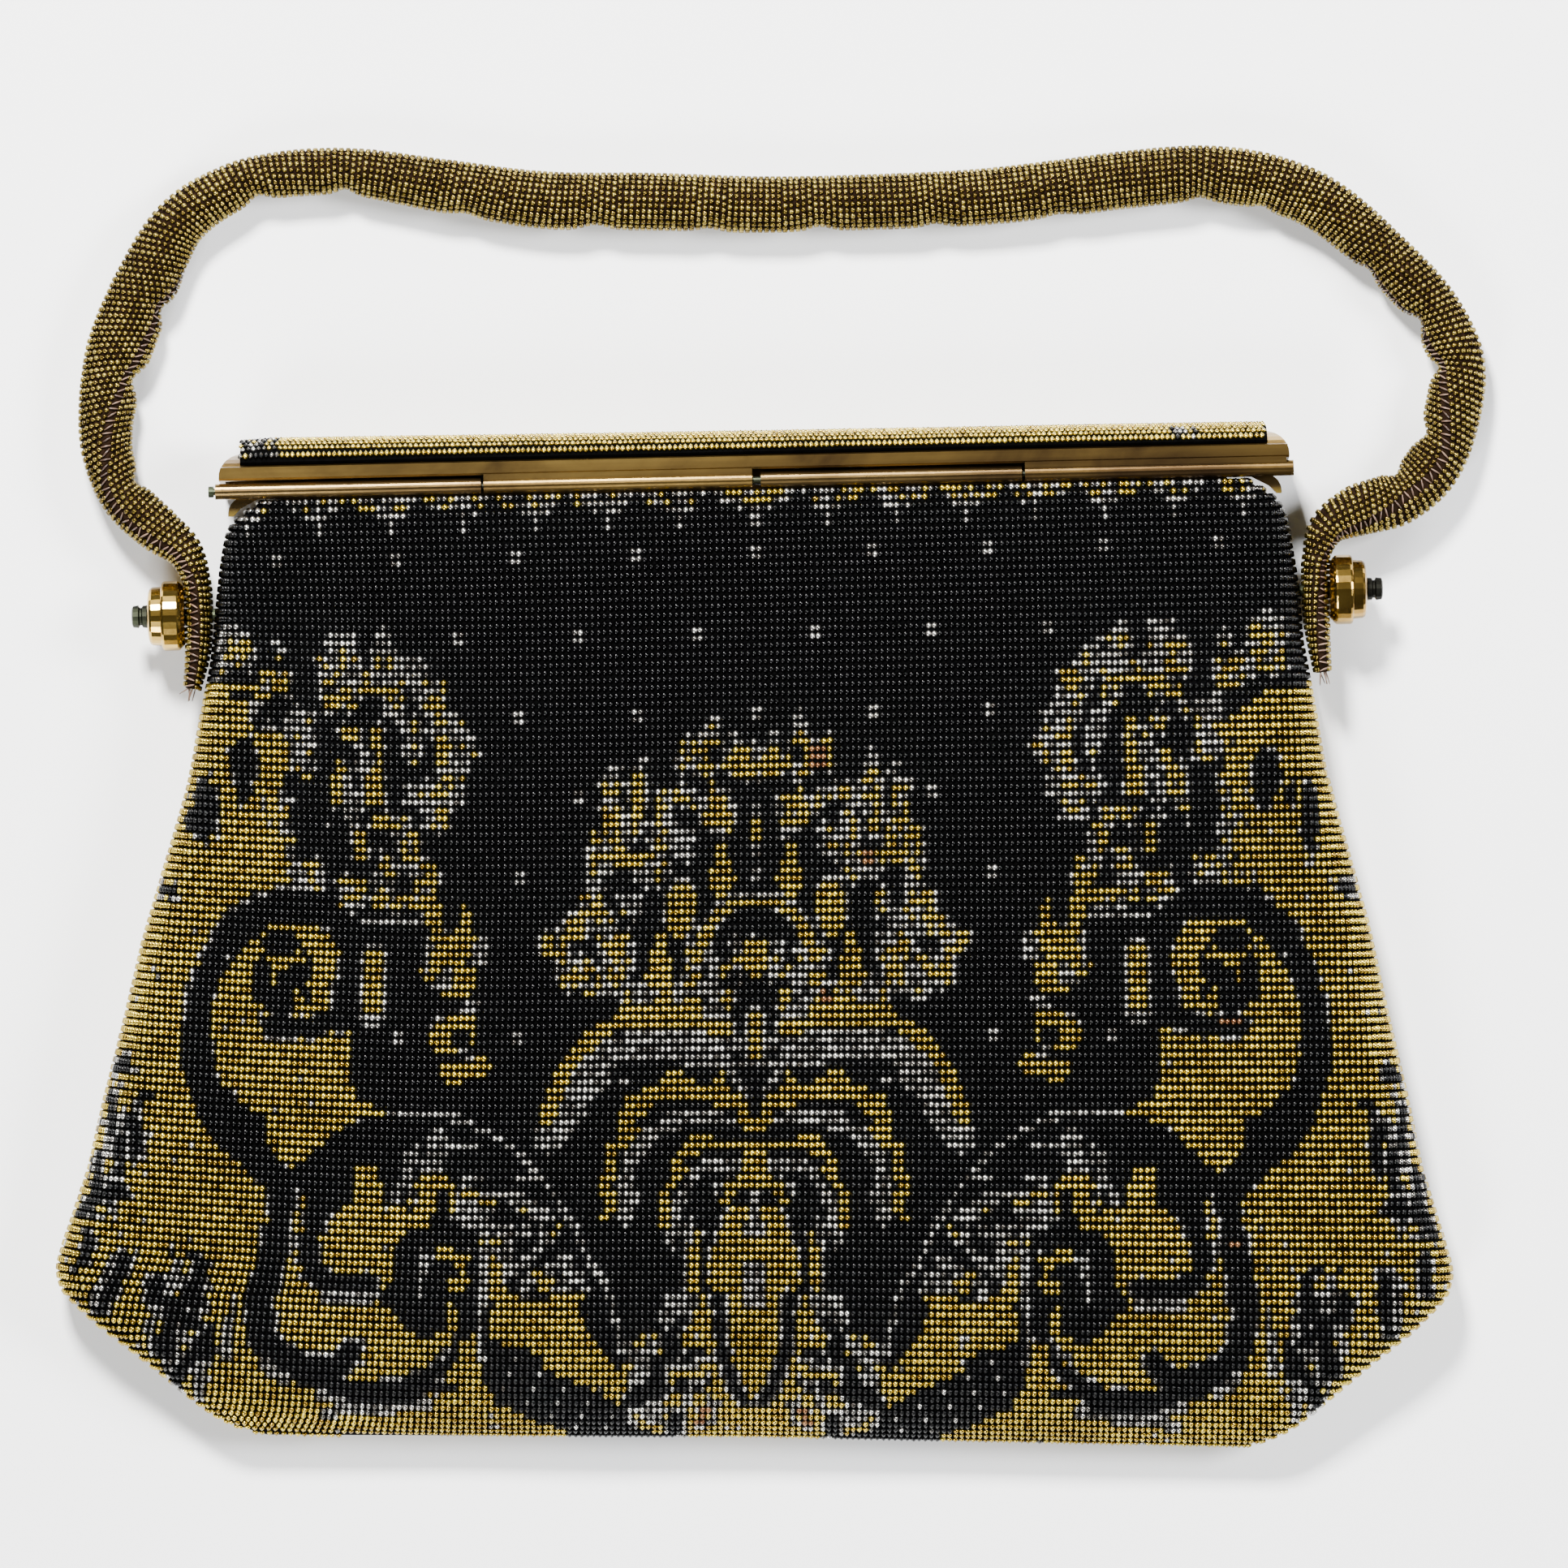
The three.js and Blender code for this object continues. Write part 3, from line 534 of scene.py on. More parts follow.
FRAME_BRASS = brass_look("frame_brass", (0.27, 0.18, 0.065), WORN_BRASS, TARNISH, 0.46, 0.20, 0.38,
                         ((HINGE[1] - 4.5) * MM, (HINGE[1] - 3.2) * MM))
BRIGHT_BRASS = brass_look("bright_brass", (0.52, 0.34, 0.07), (0.42, 0.25, 0.05), (0.14, 0.065, 0.016),
                          0.36, 0.12, 0.24)
DARK_BRASS = brass_look("dark_brass", (0.06, 0.07, 0.04), (0.025, 0.03, 0.018), (0.01, 0.01, 0.008),
                        0.50, 0.35, 0.6)


# Ornament of the bag, worked bead by bead from drawn outlines and strokes. Their points are given as
# columns from the centre line and rows from the rim in turn, and their half widths in millimetres.

BLACK, GOLD, SILVER, COPPER = 0, 1, 2, 3


def smooth_line(points):
    """A Catmull-Rom curve through a few points."""
    p = np.array(points, float)
    p = np.vstack([2 * p[0] - p[1], p, 2 * p[-1] - p[-2]])
    line = []
    for i in range(1, len(p) - 2):
        for t in np.linspace(0, 1, 14, endpoint=False):
            line.append(0.5 * (2 * p[i] + (p[i + 1] - p[i - 1]) * t
                               + (2 * p[i - 1] - 5 * p[i] + 4 * p[i + 1] - p[i + 2]) * t * t
                               + (3 * p[i] - p[i - 1] - 3 * p[i + 1] + p[i + 2]) * t ** 3))
    line.append(p[-2])
    return np.array(line)


def near(across, down, points, half):
    """Which beads lie within half of a smooth line. half may taper from one end to the other."""
    line = smooth_line(np.reshape(points, (-1, 2))) * (COLUMN, ROW)
    halves = np.linspace(half[0], half[1], len(line)) if isinstance(half, tuple) else np.full(len(line), half)
    found = np.zeros(len(across), bool)
    for (x, y), reach in zip(line, halves):
        found |= (across - x) ** 2 + (down - y) ** 2 < reach * reach
    return found


def inside(across, down, points):
    """Which beads lie inside a closed outline."""
    p = np.reshape(points, (-1, 2)) * (COLUMN, ROW)
    found = np.zeros(len(across), bool)
    for (x0, y0), (x1, y1) in zip(p, np.roll(p, -1, axis=0)):
        if y0 == y1:
            continue
        cuts = (y0 > down) != (y1 > down)
        found ^= cuts & (across < x0 + (down - y0) * (x1 - x0) / (y1 - y0))
    return found


# Large fields of the ornament: kind, corners of the outline
LEAF = [43, 106, 45, 108, 45, 111, 42, 114, 36, 117, 28, 120, 18, 120, 20, 116, 25, 113, 30, 111, 35, 110, 36,
        108]
FIELDS = [
    (GOLD, 84, 27.6, 87, 26, 96, 25, 140, 25, 140, 130, 60, 116, 75, 113, 82, 108, 84, 100, 82, 92, 80,
     88, 85, 84.8, 90, 82, 94, 78, 97.3, 71, 96, 64, 86.5, 51, 83.4, 46, 80, 36, 80, 32, 78, 30.2),
    (GOLD, 70, 57, 72.5, 54, 83, 54, 87.5, 57, 91.3, 61, 92.3, 68, 90.5, 73.5, 86, 76.5, 82, 78, 82, 81,
     79, 84, 77, 84.2, 71, 80, 66, 78, 62, 77, 62, 76.3, 67, 75.5, 68, 72, 68, 66, 70, 65),
    (GOLD, 54, 90, 62, 88, 63, 84, 67, 84, 67, 88, 71, 90, 73, 93, 76, 86, 78, 87, 78, 96, 80, 98, 80,
     104, 77, 108, 72, 110.5, 60, 112, 50, 111, 44, 114, 42, 112, 46, 105, 62, 101, 60, 98, 59.5, 93),
    (GOLD, 42, 114.5, 46, 113, 54, 112, 62, 116, 70, 113, 84, 110, 90, 130, 30, 130, 31, 118),
    (GOLD, 29.6, 100, 43.4, 101, 44.6, 105.5, 38, 106.6, 35, 108, 35, 109, 20, 118, 10, 121, 0, 121, 0,
     88, 6, 89, 10, 93, 11, 101, 16, 106, 22, 110, 27.2, 105),
    (BLACK, *LEAF),
    (BLACK, 47, 96, 62, 100, 57, 104.8, 54, 105.3, 50, 104, 46, 100),
]

# Lively patches: shares of black and of silver, the rest is gold, then the corners
PATCHES = [
    (0.6, 0.32, 27, 99, 30, 94, 34, 89, 38, 86.5, 47, 86, 52, 80, 59, 81.5, 59, 88, 50.5, 89, 47, 95, 46,
     100, 35, 100.5),
    (0.16, 0.3, 8, 99, 15, 99.5, 16.5, 104, 22, 106.5, 22.5, 111, 21, 117, 8, 119, 6.5, 112),
    (0.22, 0.26, 95, 70, 100, 76, 108, 74, 114, 78, 117, 88, 114, 93, 107, 92, 104, 84, 103, 78),
    (0.2, 0.34, 89, 103, 90, 96, 98, 95.5, 101, 100, 99, 106, 95.5, 110.5, 96, 114, 89, 114.5, 87.5, 108),
]
LEFT_PATCHES = [
    (0.2, 0.62, 75, 31.5, 75.4, 26.5, 82, 25.6, 86.5, 26, 85, 29.5, 80, 30),
    (0.24, 0.48, 77.5, 37, 82, 37, 82, 43.5, 80.5, 47, 75.5, 47.5, 75, 44.5, 78.2, 42),
]
LEFT_FIELD = [74.4, 32.5, 76, 28.8, 80, 24.6, 86, 23.8, 97, 23.6, 98, 52, 88, 50.5, 83, 48.5, 80.4, 46,
              80.4, 42, 78, 39, 75.4, 38]
# Black spots in the side fields: across, down, half across, half down
LEFT_SPOTS = [(86.7, 33.2, 2.3, 2.7), (86.8, 37, 1.5, 1.8), (78.2, 36.2, 1.9, 1.8), (80.8, 26.1, 2.1, 1.2),
              (93.8, 39.5, 2.4, 4.0), (73.2, 34, 1.1, 8.5), (87.6, 22.8, 3.6, 0.9), (96.5, 41, 2.2, 1.3)]
RIGHT_SPOTS = [(87.4, 35.8, 2.2, 2.6), (94.4, 41, 1.4, 4.2), (91.3, 38.6, 1.2, 1.4), (86.4, 36.6, 1.7, 3.8)]
BLOSSOM = [83.3, 55, 77.6, 55, 76, 57.4, 74.6, 58.8, 74.8, 62.6, 76.4, 64.6, 80, 65.2, 84.2, 64.6, 85.4,
           61, 84.4, 57.4]
BLOSSOM_GOLD = [(81.4, 60.2, 0.9, 1.5), (77.2, 63.4, 0.9, 1.6), (83.6, 56.9, 0.7, 0.8), (79, 57.6, 0.6, 0.8)]

# Blocks of the crown and the sprays in columns and rows: left, top, right, bottom, share of silver
BLOCKS = [
    (7, 28, 8, 31, 0.5), (6, 31, 9, 34, 0.3), (9, 31, 13, 35, 0.25), (0, 32, 4, 36, 0.3),
    (3, 30, 4, 32, 1), (4, 33, 6, 35, 0.3), (7, 34, 9, 40, 0.25), (4, 38, 7, 43, 0.25),
    (7, 40, 9, 42, 0.2), (9, 38, 11, 40, 0.3), (11, 37, 16, 39, 0.35), (15, 38, 17, 49, 0.4),
    (11, 42, 14, 46, 0.6), (19, 33, 20, 35, 1), (18, 35, 21, 39, 0.35), (19, 39, 21, 44, 0.45),
    (23, 34, 24, 36, 1), (23, 36, 26, 42, 0.35), (22, 42, 28, 45, 0.5), (17, 45, 28, 47, 0.3),
    (26, 47, 28, 53, 0.45), (17, 47, 19, 49, 0.7), (28, 50, 30, 54, 0.4), (29, 53, 32, 56, 0.4),
    (31, 55, 36, 58, 0.4), (32, 54, 33, 59, 0.5), (27, 58, 30, 61, 0.4), (30, 58, 33, 62, 0.6),
    (21, 55, 26, 60, 0.25), (20, 50, 23, 53, 0.85), (24, 52, 27, 56, 0.5), (22, 60, 27, 62, 0.5),
    (0, 56, 2, 62, 0.1), (2, 58, 4, 59, 0.2), (4, 59, 6, 61, 0.3), (3, 56, 4, 58, 1),
    (7, 57, 8, 64, 0.8), (9, 57, 12, 66, 0.45), (13, 63, 22, 66, 0.3), (13, 61, 29, 63, 0.7),
    (4, 62, 6, 65, 0.2), (4, 66, 13, 69, 0.6), (62, 17, 63, 19, 1), (60, 19, 64, 23, 0.55),
    (57, 20, 59, 21, 1), (56, 21, 58, 23, 0.5), (68, 17, 69, 19, 1), (67, 19, 70, 22, 0.5),
    (70, 20, 74, 24, 0.45), (71, 18, 72, 20, 1), (58, 22, 69, 24, 0.9), (52, 23, 56, 27, 0.45),
    (60, 24, 70, 25, 0.1), (56, 24, 57, 26, 0.3), (59, 25, 62, 28, 0.8), (67, 25, 70, 27, 0.35),
    (70, 25, 73, 27, 0.25), (73, 27, 74, 29, 0.4), (75, 27, 79, 35, 0.85), (49, 28, 52, 36, 0.75),
    (47, 31, 49, 33, 0.8), (52, 27, 55, 30, 0.5), (52, 30, 54, 36, 0.3), (57, 28, 58, 34, 0.4),
    (58, 29, 59, 33, 1), (63, 29, 65, 35, 0.08), (63, 35, 66, 39, 0.05), (66, 31, 67, 39, 1),
    (68, 34, 69, 42, 1), (67, 29, 70, 31, 0.2), (69, 33, 71, 35, 0.3), (70, 35, 73, 39, 0.1),
    (72, 39, 74, 41, 0.1), (74, 41, 76, 43, 0.2), (50, 36, 59, 39, 0.75), (52, 37, 55, 38, 0.1),
    (52, 39, 56, 42, 0.6), (59, 40, 65, 42, 0.1), (66, 42, 68, 46, 0.1), (57, 42, 60, 46, 0.35),
    (54, 46, 58, 50, 0.35), (61, 45, 64, 50, 0.25), (55, 50, 65, 52, 0.25), (66, 48, 71, 52, 0.2),
    (74, 46, 79, 50, 0.5), (80, 18, 81, 21, 1), (79, 22, 84, 26, 0.45), (87, 16, 89, 18, 1),
    (85, 18, 91, 24, 0.55), (79, 36, 81, 50, 0.5), (81, 36, 84, 51, 0.12),
]
# Black spots and gaps between the blocks: across, down, half across, half down
GAPS = [(7, 32.4, 0.7, 1), (9, 36.4, 1.2, 1.2), (30.4, 56.4, 0.8, 1), (1.6, 60.4, 0.4, 0.9),
        (58.6, 26, 0.8, 2), (65, 26, 1.8, 1.4), (55.2, 32, 1.2, 2.2), (59.6, 48.4, 1.6, 1.5),
        (81, 27.4, 1.4, 1.5), (87, 25, 2.4, 1), (76.2, 40, 2.5, 5)]

# Black scrolls that cross the gold, edged with a line of silver beads: half width, points
SCROLLS = [
    (1.9, 69.5, 64, 68.3, 58, 69, 54, 73, 51.8, 79, 50.8, 85, 52, 89.5, 55, 93, 60.5, 94.4, 66, 93.2, 73,
     90, 77, 82, 84.3, 79, 86, 79.5, 90.3, 80.7, 97.9, 81.4, 102, 79, 107.6, 74, 109.4, 69.3, 109.6,
     66.3, 107.4),
    (1.6, 69, 65, 75, 66.3, 81.5, 66.8),
    (1.6, 70, 84, 73, 90, 74.2, 93, 74.4, 95.5, 73.2, 97.4, 69.3, 99, 64.5, 98.8),
    (1.2, 56, 94, 50, 91, 46.4, 93, 48, 104, 48.9, 106.8, 52.7, 110, 58, 112, 66, 113),
    (1.2, 100, 50.2, 103, 50), (1.2, 107, 72.3, 111, 73), (1.2, 110.5, 76.5, 109.3, 80),
    (1.1, 104.6, 79, 104.2, 83.3), (1.2, 106.5, 88.6, 111, 89.3, 114.5, 91.6), (1, 112, 84.5, 112, 89),
    (1, 112.3, 94.5, 112.2, 98.5), (1, 92, 97.5, 92, 101, 95, 102), (1.2, 98.7, 99.6, 97.3, 102),
    (1.2, 91, 105, 94, 103.8, 95.3, 106, 95.5, 109), (1, 105, 96.8, 104.6, 100, 106, 103.6),
    (1.2, 92.5, 110.5, 93.8, 113), (1, 55, 111, 57, 114, 61, 112, 63, 113, 66, 114),
    (0.8, 0, 86, 5, 88, 7.4, 92, 9.2, 95.5, 8.4, 98.3, 6, 100.5, 5.7, 104.5, 4.9, 108, 3.6, 111, 1.5,
     113.5),
    (1, 13.6, 104.5, 13.8, 108), (1.3, 16, 108, 15.6, 112.5), (1, 13, 115.8, 12.6, 119),
]

# Fine lines over the black ground: kind, half width, points
LINES = [
    # Buds, arch and pointed oval of the crown
    (SILVER, 2.9, 12.8, 49.6, 12.8, 53.4), (GOLD, 2.5, 12.8, 50.4, 12.9, 53.4),
    (GOLD, (0.7, 2.6), 5.8, 43.6, 5.9, 48.4), (GOLD, (1, 2.7), 16, 55.4, 16.2, 60),
    (SILVER, 1, 0, 39, 0, 45), (GOLD, 1, 0, 41, 0, 43),
    (SILVER, 1.7, 0, 50.6, 4, 51, 7, 53, 9, 56, 10, 58),
    (GOLD, 1, -0.5, 51, 4, 51.3, 7, 53, 9, 55.8, 10, 58), (BLACK, 3.9, -0.5, 64, 0, 69),
    (BLACK, 2, 0, 62, 0, 72), (SILVER, 2.2, -0.5, 65, 0, 70), (GOLD, 1, 0, 65, 0, 70),
    # Arcs that span the middle
    (SILVER, 2.6, 4.5, 68.2, 18, 68.4, 24, 69.4, 28, 72.5, 30.5, 76, 33, 79, 34.8, 80.2),
    (SILVER, 1, 18, 63, 22, 63), (GOLD, 1.4, 10, 64, 14, 64.6, 21.5, 63.9),
    (GOLD, 1.5, 5, 66.8, 8, 66, 18, 65.3, 24, 66, 28, 68, 31, 70.5, 33.5, 74, 34.8, 77.5),
    (SILVER, 1, 5, 64.6, 8.6, 64.4), (SILVER, 1, 3, 71, 11, 71), (SILVER, 1.1, 4, 72, 3, 73, 2, 74.4),
    (SILVER, 1, 22, 73, 22, 73), (SILVER, 1, 25, 73, 26, 74),
    (GOLD, 1.8, 3.6, 75.3, 13, 74, 17, 74.6, 20, 75.6), (GOLD, 1, 13, 72, 14, 72),
    (GOLD, 0.8, 5.8, 72.4, 6, 74), (GOLD, 1.3, 19, 76.6, 22, 77.8, 20.5, 79.2),
    (GOLD, 1.1, 2, 76, 2, 78, 0, 79), (GOLD, 1.2, 22, 80.4, 24, 82, 24, 84.3, 25, 86),
    (GOLD, 1.2, 25.2, 86, 23.8, 88, 24.8, 90), (SILVER, 1, 6, 77.4, 14, 77.4),
    (SILVER, 1.5, 13, 78.2, 16, 79, 18.5, 80.4, 20.6, 83, 21.4, 86, 21.4, 90),
    (SILVER, 1, 4, 78, 10, 78), (GOLD, 1.2, 1, 81, 5, 81, 10.5, 80.6),
    (GOLD, 1.1, 10.4, 82, 12.8, 82.6, 12.4, 84, 14.4, 86.4, 15.3, 89, 15, 91),
    (SILVER, 1.1, 2, 83.4, 8.6, 83.8, 11, 86, 12.6, 88, 13.2, 91, 13.8, 93.4),
    (SILVER, 0.8, 4.6, 85.2, 6.6, 86.8), (GOLD, 1.4, 0.6, 82, 1.4, 86), (GOLD, 1, 3.4, 85.8, 5, 88),
    # Middle medallion
    (SILVER, 1.2, 0, 88, 0.6, 92), (SILVER, 0.9, 10.6, 90, 12, 102),
    (GOLD, 0.9, 9.4, 92, 10, 96, 10.6, 101), (SILVER, 1, 1, 96, 1, 101),
    (SILVER, 2.2, 9, 100.8, 13, 101), (GOLD, 0.8, 8.6, 100, 9, 104), (SILVER, 1, 18.5, 108, 20.5, 111.5),
    (SILVER, 0.9, 17.4, 105, 17.2, 107), (SILVER, 1, 19, 107, 22, 107), (SILVER, 1, 8, 108, 11, 109),
    (BLACK, 1, 9, 107, 11, 107.6), (SILVER, 1, 16, 114, 17, 116), (SILVER, 1, 6.4, 114, 6.6, 117),
    (COPPER, 0.9, 8, 115, 9, 117),
    # Thin dotted arc from the spray to the medallion
    (SILVER, 0.62, 62, 77.3, 50, 77),
    # Leaf beside the spray
    (SILVER, 1, 57, 53, 66, 53),
    # Sprig that hangs from the spray
    (GOLD, 1.4, 56, 50, 54, 52, 55, 53), (GOLD, 1, 49.2, 51.6, 49, 54),
    (GOLD, 2, 48, 56, 50, 55, 50.4, 57), (SILVER, 1.3, 46.2, 55, 46.6, 58), (SILVER, 1, 53, 54, 53, 57),
    (GOLD, 2, 49, 59.6, 55, 59), (GOLD, 2, 49, 61, 52, 61), (SILVER, 1.5, 47.6, 63.2, 49, 65),
    (SILVER, 3, 50, 67.4, 52, 66.6), (GOLD, 3.2, 49.6, 66.6, 51.8, 67.2),
    (BLACK, 1.4, 49, 67.4, 50, 67.4), (SILVER, 2, 46, 71, 51, 71.6),
    (GOLD, 1.4, 46, 70, 46, 71.4, 52, 71.4, 50, 73), (SILVER, 2.9, 64.5, 57.4, 64.7, 64.2),
    (GOLD, 1.4, 64.5, 57, 64.7, 64), (SILVER, 2.2, 54.2, 56, 53.2, 60.2),
    (GOLD, 1.3, 55, 52, 53.2, 56, 54.2, 59.2),
    # Feathers beside the medallion
    (SILVER, 0.62, 35.4, 84.7, 48.6, 84.6), (SILVER, 0.62, 46, 81.4, 52, 81),
    (SILVER, 1.9, 52.8, 80, 54, 85), (SILVER, 1.3, 57.4, 82, 58.4, 86), (GOLD, 1, 51, 85.6, 56, 85.6),
    (GOLD, 0.7, 51, 86, 50, 89), (GOLD, 1.9, 54.4, 88, 56, 90.4), (SILVER, 1, 37, 88, 39, 88),
    (SILVER, 1.4, 44, 89, 49.4, 89.6), (SILVER, 1.2, 41.6, 91.2, 48, 91), (GOLD, 1, 41, 93, 45, 93),
    (SILVER, 1, 41, 92, 41, 97), (SILVER, 1, 34, 90, 38, 90.6, 38, 92),
    (SILVER, 1, 34.4, 92.6, 37, 95, 39, 96), (SILVER, 1, 31, 95.2, 34, 96, 36, 98),
    (SILVER, 1, 28.6, 97.4, 33, 99), (GOLD, 1, 35.6, 97, 35, 99), (GOLD, 1.3, 43, 96, 42.6, 100),
    (SILVER, 1, 44.6, 93.4, 45, 100), (SILVER, 0.9, 37.4, 97, 38, 99.6), (GOLD, 1, 29, 100, 33, 100),
    (SILVER, 1, 45.4, 100, 45.6, 108), (GOLD, 1.2, 47.4, 106, 48, 112),
    # Blossom strokes on the black rose
    (GOLD, 1, 48, 95, 52.6, 94.4), (GOLD, 0.9, 48.8, 96, 48.4, 98.4, 50.6, 98.4),
    (GOLD, 1, 50.4, 101.4, 50, 104), (SILVER, 0.7, 55.4, 94, 55.4, 100), (SILVER, 0.8, 54, 95, 55, 97),
    # Edge of the lower field
    (SILVER, 1, 64, 100.6, 71, 100.5), (SILVER, 1.2, 54, 114.6, 64, 115.4, 71, 113.6),
    (SILVER, 1, 65, 116.2, 70.4, 116.4), (SILVER, 1.2, 77, 111.6, 80, 109.6),
    (SILVER, 1, 96, 97, 96, 101), (SILVER, 1, 97, 104, 98.4, 106), (SILVER, 1, 107, 97, 107, 103),
    (SILVER, 0.9, 85.6, 101, 86, 109), (SILVER, 1, 90, 110, 90, 115),
]

# The dotted arc from the sprig down to the medallion
DOTTED = [48, 78, 42, 80.5, 38, 83, 34.5, 86, 31, 90, 28, 94.5, 25.5, 97.6, 23.6, 101, 22, 106]

COPPER_SPOTS = [(80.2, 66, 2, 0.9), (10.6, 33.2, 1.6, 1.7), (19, 45.4, 0.8, 0.8), (11.8, 62.6, 0.8, 1),
                (80, 93, 0.8, 0.6)]

# Shares of beads: silver specks in the gold fields, black ones left in the blocks, silver beside and
# above a block, silver round a spot and a scroll, and black in the blossom
FIELD_SPECKS = 0.012
BARE = 0.05
BESIDE_BLOCK = 0.62
ABOVE_BLOCK = 0.28
ROUND_SPOT = 0.6
ROUND_SCROLL = 0.8
BLOSSOM_BLACK = 0.86


CELLS = rng.random((96, 96))


def mottle(column, row):
    """Soft random value for each bead, in blots of about two beads, evened out to run from 0 to 1."""
    x = np.abs(column) / 1.55
    y = row / 1.35
    i, j = np.floor(x).astype(int), np.floor(y).astype(int)
    u, v = x - i, y - j
    i, j = i % 95, j % 95
    value = (CELLS[i, j] * (1 - u) * (1 - v) + CELLS[i + 1, j] * u * (1 - v)
             + CELLS[i, j + 1] * (1 - u) * v + CELLS[i + 1, j + 1] * u * v)
    return np.clip((value - 0.5) * 1.45 + 0.5, 0, 1)


def fringe(column, row):
    """Groups of silver and gold beads under the rim with a drop below every second group."""
    place = np.abs(column)
    group = (place + 4) // 12
    inner = (place + 4) % 12
    grain = mottle(column * 2.3, row * 2.1 + 200)
    silver = (row < 1) & (inner < 11) & (grain > 0.05)
    silver |= (row == 1) & (inner > 1) & (inner < 10) & (grain > 0.16)
    silver |= (row == 2) & (inner > 2) & (inner < 7) & ((group % 2 == 1) | (grain > 0.6))
    silver |= (row < 5) & (np.abs(inner - 4.5) < 0.6)
    gold = silver & (row < 2) & (grain > np.where(column > 0, 0.55, 0.74))
    return silver, gold


def spots(column, row):
    """Pairs of silver dots, two beads each way, every twenty columns, staggered by half."""
    line = (row - 7) // 10
    inner = (row - 7) % 10
    across = (column - 10 * (line % 2)) % 20
    return (inner < 2) & ((across < 1) | (across >= 19)) & (row >= 7) & (row < 100)


def ornament(column, row):
    """The kind of each bead. column counts from the centre line, row from the rim."""
    place = np.abs(column)
    left = column < 0
    across = place * COLUMN
    down = row * ROW

    def off(x, y, wide, tall):
        """Distance of each bead from the middle of an oval, 1 at its edge."""
        return np.hypot((place - x) / wide, (row - y) / tall)

    kind = np.zeros(len(column), int)
    kind[spots(column, row)] = SILVER
    for paint, *outline in FIELDS:
        kind[inside(across, down, outline)] = paint
    specks = rng.random(len(column))
    kind[(kind == GOLD) & (specks < FIELD_SPECKS)] = SILVER
    kind[left & inside(across, down, LEFT_FIELD)] = GOLD
    blots = mottle(column, row)
    for side, patches in ((np.ones_like(left), PATCHES), (left, LEFT_PATCHES)):
        for black, silver, *outline in patches:
            here = side & inside(across, down, outline)
            kind[here] = np.where(blots < black, BLACK, np.where(blots < black + silver, SILVER, GOLD))[here]
    grain = np.where(rng.random(len(column)) < 0.5, blots, specks)
    bare = rng.random(len(column)) < BARE
    for x0, y0, x1, y1, silver in BLOCKS:
        beside = (place > x0 - 1) & (place < x1 + 1) & (row >= y0) & (row < y1)
        above = (place > x0) & (place < x1) & (row >= y0 - 1) & (row < y1 + 1)
        halo = beside & (specks < BESIDE_BLOCK) | above & (specks > 1 - ABOVE_BLOCK)
        kind[halo & (kind == BLACK)] = SILVER
    for x0, y0, x1, y1, silver in BLOCKS:
        here = (place > x0) & (place < x1) & (row >= y0) & (row < y1) & ~bare
        kind[here] = np.where(grain < silver, SILVER, GOLD)[here]
    for oval in GAPS:
        kind[off(*oval) < 1] = BLACK
    for side, ovals in ((left, LEFT_SPOTS), (~left, RIGHT_SPOTS)):
        for oval in ovals:
            kind[side & (off(*oval) < 1.3) & (kind == GOLD) & (specks < ROUND_SPOT)] = SILVER
            kind[side & (off(*oval) < 1)] = BLACK
    kind[inside(across, down, BLOSSOM) & (blots < BLOSSOM_BLACK)] = BLACK
    for oval in BLOSSOM_GOLD:
        kind[off(*oval) < 1] = GOLD
    for half, *points in SCROLLS:
        edge = near(across, down, points, half + 1)
        kind[edge & (kind == GOLD) & (specks < ROUND_SCROLL)] = SILVER
    for half, *points in SCROLLS:
        kind[near(across, down, points, half)] = BLACK
    for paint, half, *points in LINES:
        kind[near(across, down, points, half)] = paint
    kind[near(across, down, DOTTED, 0.75)] = SILVER
    leaf = (kind == BLACK) & inside(across, down, LEAF)
    kind[leaf & ((place // 1 + 2 * row) % 5 < 1) & (row % 2 == 0)] = SILVER
    for oval in COPPER_SPOTS:
        kind[~left & (off(*oval) < 1)] = COPPER
    silver, gold = fringe(column, row)
    kind[silver] = SILVER
    kind[gold] = GOLD
    return kind


def front_lengths():
    """Shares of the bag's drop and how far along the cloth each one lies."""
    downs = np.linspace(0, 1, 2001)
    line = skin(np.zeros_like(downs), downs, True)
    return downs, along_line(line)


RISE_LEFT = 4.0
RISE_FROM = 40.0
LEFT_WIDER = 0.045
LEFT_EVEN = 0.42


def rise_of(x, down):
    """On the left the rows climb towards the side seam."""
    share = np.clip((-x - RISE_FROM) / (HALF_WIDTH - RISE_FROM), 0, 1)
    return RISE_LEFT * share ** 2 * np.clip((down - 0.02) / 0.2, 0, 1)


